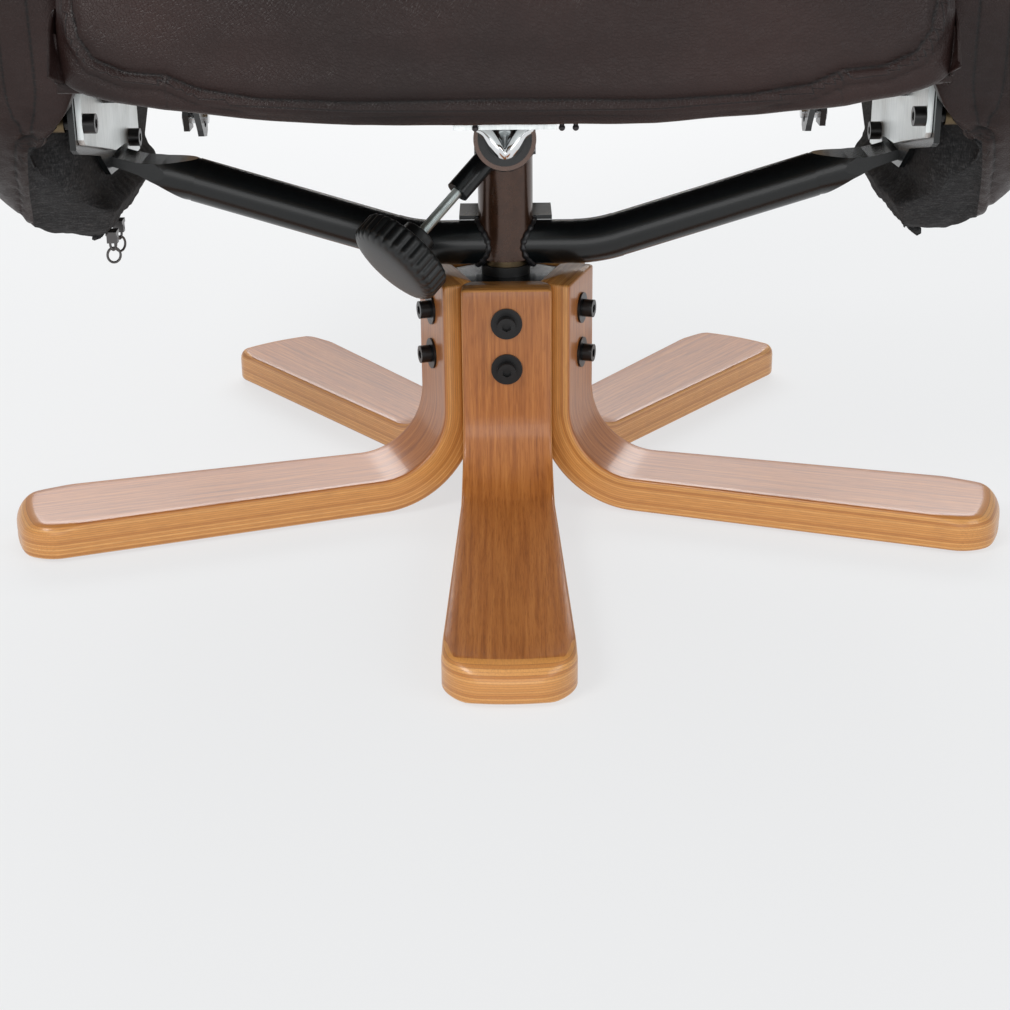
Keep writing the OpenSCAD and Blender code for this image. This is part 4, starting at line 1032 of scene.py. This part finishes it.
def back_piece():
    """Back cushion with sewn channels: the outline bulges between seams at set heights."""
    loop = smooth_loop([(-15.5, 34), (-15.5, 300), (-15.5, 640), (-18, 656), (-28, 664), (-46, 660),
                        (-60, 640), (-64, 600), (-68, 470), (-78, 340), (-96, 250), (-111, 180),
                        (-114, 120), (-106, 70), (-88, 42), (-60, 31), (-30, 30)], 460, 5)
    rings, end, ccw = box_form(loop, 260, 30.0, across=150, cap=16)
    x, y, b = rings[..., 0], rings[..., 1], rings[..., 2]
    seams = [205.0, 350.0, 478.0]
    d = np.min([np.abs(b - s - 0.00006 * x ** 2) for s in seams], 0)
    frontness = 1 - sstep(-46, -30, y)
    side = np.clip(1 - (np.abs(x) / 262) ** 6, 0, 1)
    puff = 10 * (1 - np.exp(-(d / 34.0) ** 1.3)) * frontness * side
    crown = 12 * (1 - (np.abs(x) / 260) ** 2.2) * frontness
    y2 = np.minimum(y - puff - crown + 6, -14.6)
    b2 = b + 8 * (1 - (x / 260) ** 2) * sstep(600, 660, b)
    rings = np.stack([x, y2, b2], -1)
    sd = np.where((frontness > 0.2) & (end < 0.01), d, 60)
    ef = np.where(end < 0.01, 247 - np.abs(x), 60)
    channel = np.abs(sd) < np.abs(ef)
    ob = loft("back_upholstery", back(rings), LEATHER,
              {"seam_d": np.where(channel, sd, ef), "run": np.where(channel, x, b)}, flip=not ccw)
    P = mesh_points(rings)
    D, E, FR = flat(sd), flat(ef), flat(frontness)
    am = -3.2 * np.exp(-(D / 2.2) ** 2)
    am += 1.2 * np.exp(-((E + 5) / 3.5) ** 2) - 1.8 * np.exp(-(E / 1.6) ** 2)
    pucker = np.exp(-((D - 8) / 10.0) ** 2) * field(P * np.array([1, 0.3, 0.3]), 22, 33) * 1.1
    am += FR * (2.0 * field(P, 140, 31) + 0.6 * field(P, 44, 32) + pucker)
    push(ob, am)
    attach(ob, "back")
    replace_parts(ob, "back_cushion")


def pillow_piece():
    """Head pillow: its outline swept across, thinner by 0.22 u^3 and taller by 0.05 u^4 towards the
    ends (u = |x| / 206), with its middle crowned by 6 (1 - u^2) and a seam near each end."""
    loop = smooth_loop([(-66, 474), (-64, 560), (-66, 616), (-78, 630), (-98, 622), (-110, 596), (-115, 556),
                        (-110, 512), (-96, 482), (-80, 470)], 260, 8)
    rings, end, ccw = box_form(loop, 206, 26.0, across=110, cap=12)
    x, y, b = rings[..., 0], rings[..., 1], rings[..., 2]
    ax = np.abs(x) / 206
    middle = loop[:, 1].mean()
    y2 = -66 + (y + 66) * (1 - 0.22 * ax ** 3) - 6 * (1 - ax ** 2) * (y < -75)
    b2 = middle + (b - middle) * (1 + 0.05 * ax ** 4)
    rings = np.stack([x, y2, b2], -1)
    e = np.where(end < 0.01, 196 - np.abs(x), 60)
    ob = loft("pillow_upholstery", back(rings), LEATHER, {"seam_d": e, "run": b}, flip=not ccw)
    P = mesh_points(rings)
    E = flat(e)
    am = -2.4 * np.exp(-(E / 1.7) ** 2) + 1.3 * np.exp(-((E + 5) / 3.5) ** 2)
    am += (P[:, 1] < -72) * (1.8 * field(P, 110, 41) + 0.7 * field(P, 36, 42))
    am += np.exp(-((E - 10) / 12.0) ** 2) * field(P * np.array([0.3, 1, 1]), 20, 43) * 0.9
    push(ob, am)
    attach(ob, "back")
    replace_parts(ob, "head_pillow")


def back_shell():
    """Leather over the rear: a U-shaped section (rear panel and two wings) lofted up the back."""
    rings, sd = [], []
    bs = np.concatenate([[20, 20.6, 22], np.linspace(24, 656, 120), [658, 659.4, 660]])
    for k, b in enumerate(bs):
        edge = min(k, len(bs) - 1 - k)
        ins = {0: 2.4, 1: 1.0, 2: 0.2}.get(edge, 0.0)
        wing = float(11.8 - 26 * sstep(122, 140, b))
        crown = 5.0 * math.sin(math.pi * np.clip((b - 20) / 640, 0, 1)) ** 0.6
        xs = np.linspace(-252, 252, 61)[1:-1]
        side = [(-262 + ins, wing + ins)] + [(-262 + ins, y) for y in np.linspace(wing + 2, 12.5, 6)]
        side += [(-262 + 9 * (1 - math.cos(a)) + ins, 12.5 + 8 * math.sin(a) - ins)
                 for a in np.linspace(0.2, math.pi / 2, 6)]
        rear = [(x, 20.5 - ins + crown * (1 - (abs(x) / 253) ** 2.5)) for x in xs]
        outer = side + rear + [(-x, y) for x, y in side[::-1]]
        side = [(257, wing + ins)] + [(257, y) for y in np.linspace(wing + 2, 11.9, 5)]
        inner = side + [(x, 11.9 + ins) for x in xs[::-1]] + [(-x, y) for x, y in side[::-1]]
        p = np.array(outer + inner)
        rings.append(np.stack([p[:, 0], p[:, 1], np.full(len(p), b)], 1))
        dd = np.minimum(np.abs(np.abs(p[:, 0]) - 244), np.abs(b - 640) + 0 * p[:, 0])
        sd.append(np.where(p[:, 1] > 14, dd, 60))
    rings = np.array(rings)
    ob = loft("back_leather", back(rings), LEATHER,
              {"seam_d": sd, "run": rings[..., 2] + rings[..., 0]}, flip=True)
    P = mesh_points(rings)
    outside = (P[:, 1] > 19).astype(float)
    am = outside * (field(P, 160, 51) + 0.4 * field(P, 50, 52))
    push(ob, am - 1.6 * np.exp(-(flat(sd) / 1.6) ** 2))
    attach(ob, "back")
    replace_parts(ob, "back_cover")


seat_piece()
front_skirt()
for side in (-1, 1):
    skirt_piece(side)
    arm_piece(side)
back_piece()
pillow_piece()
back_shell()
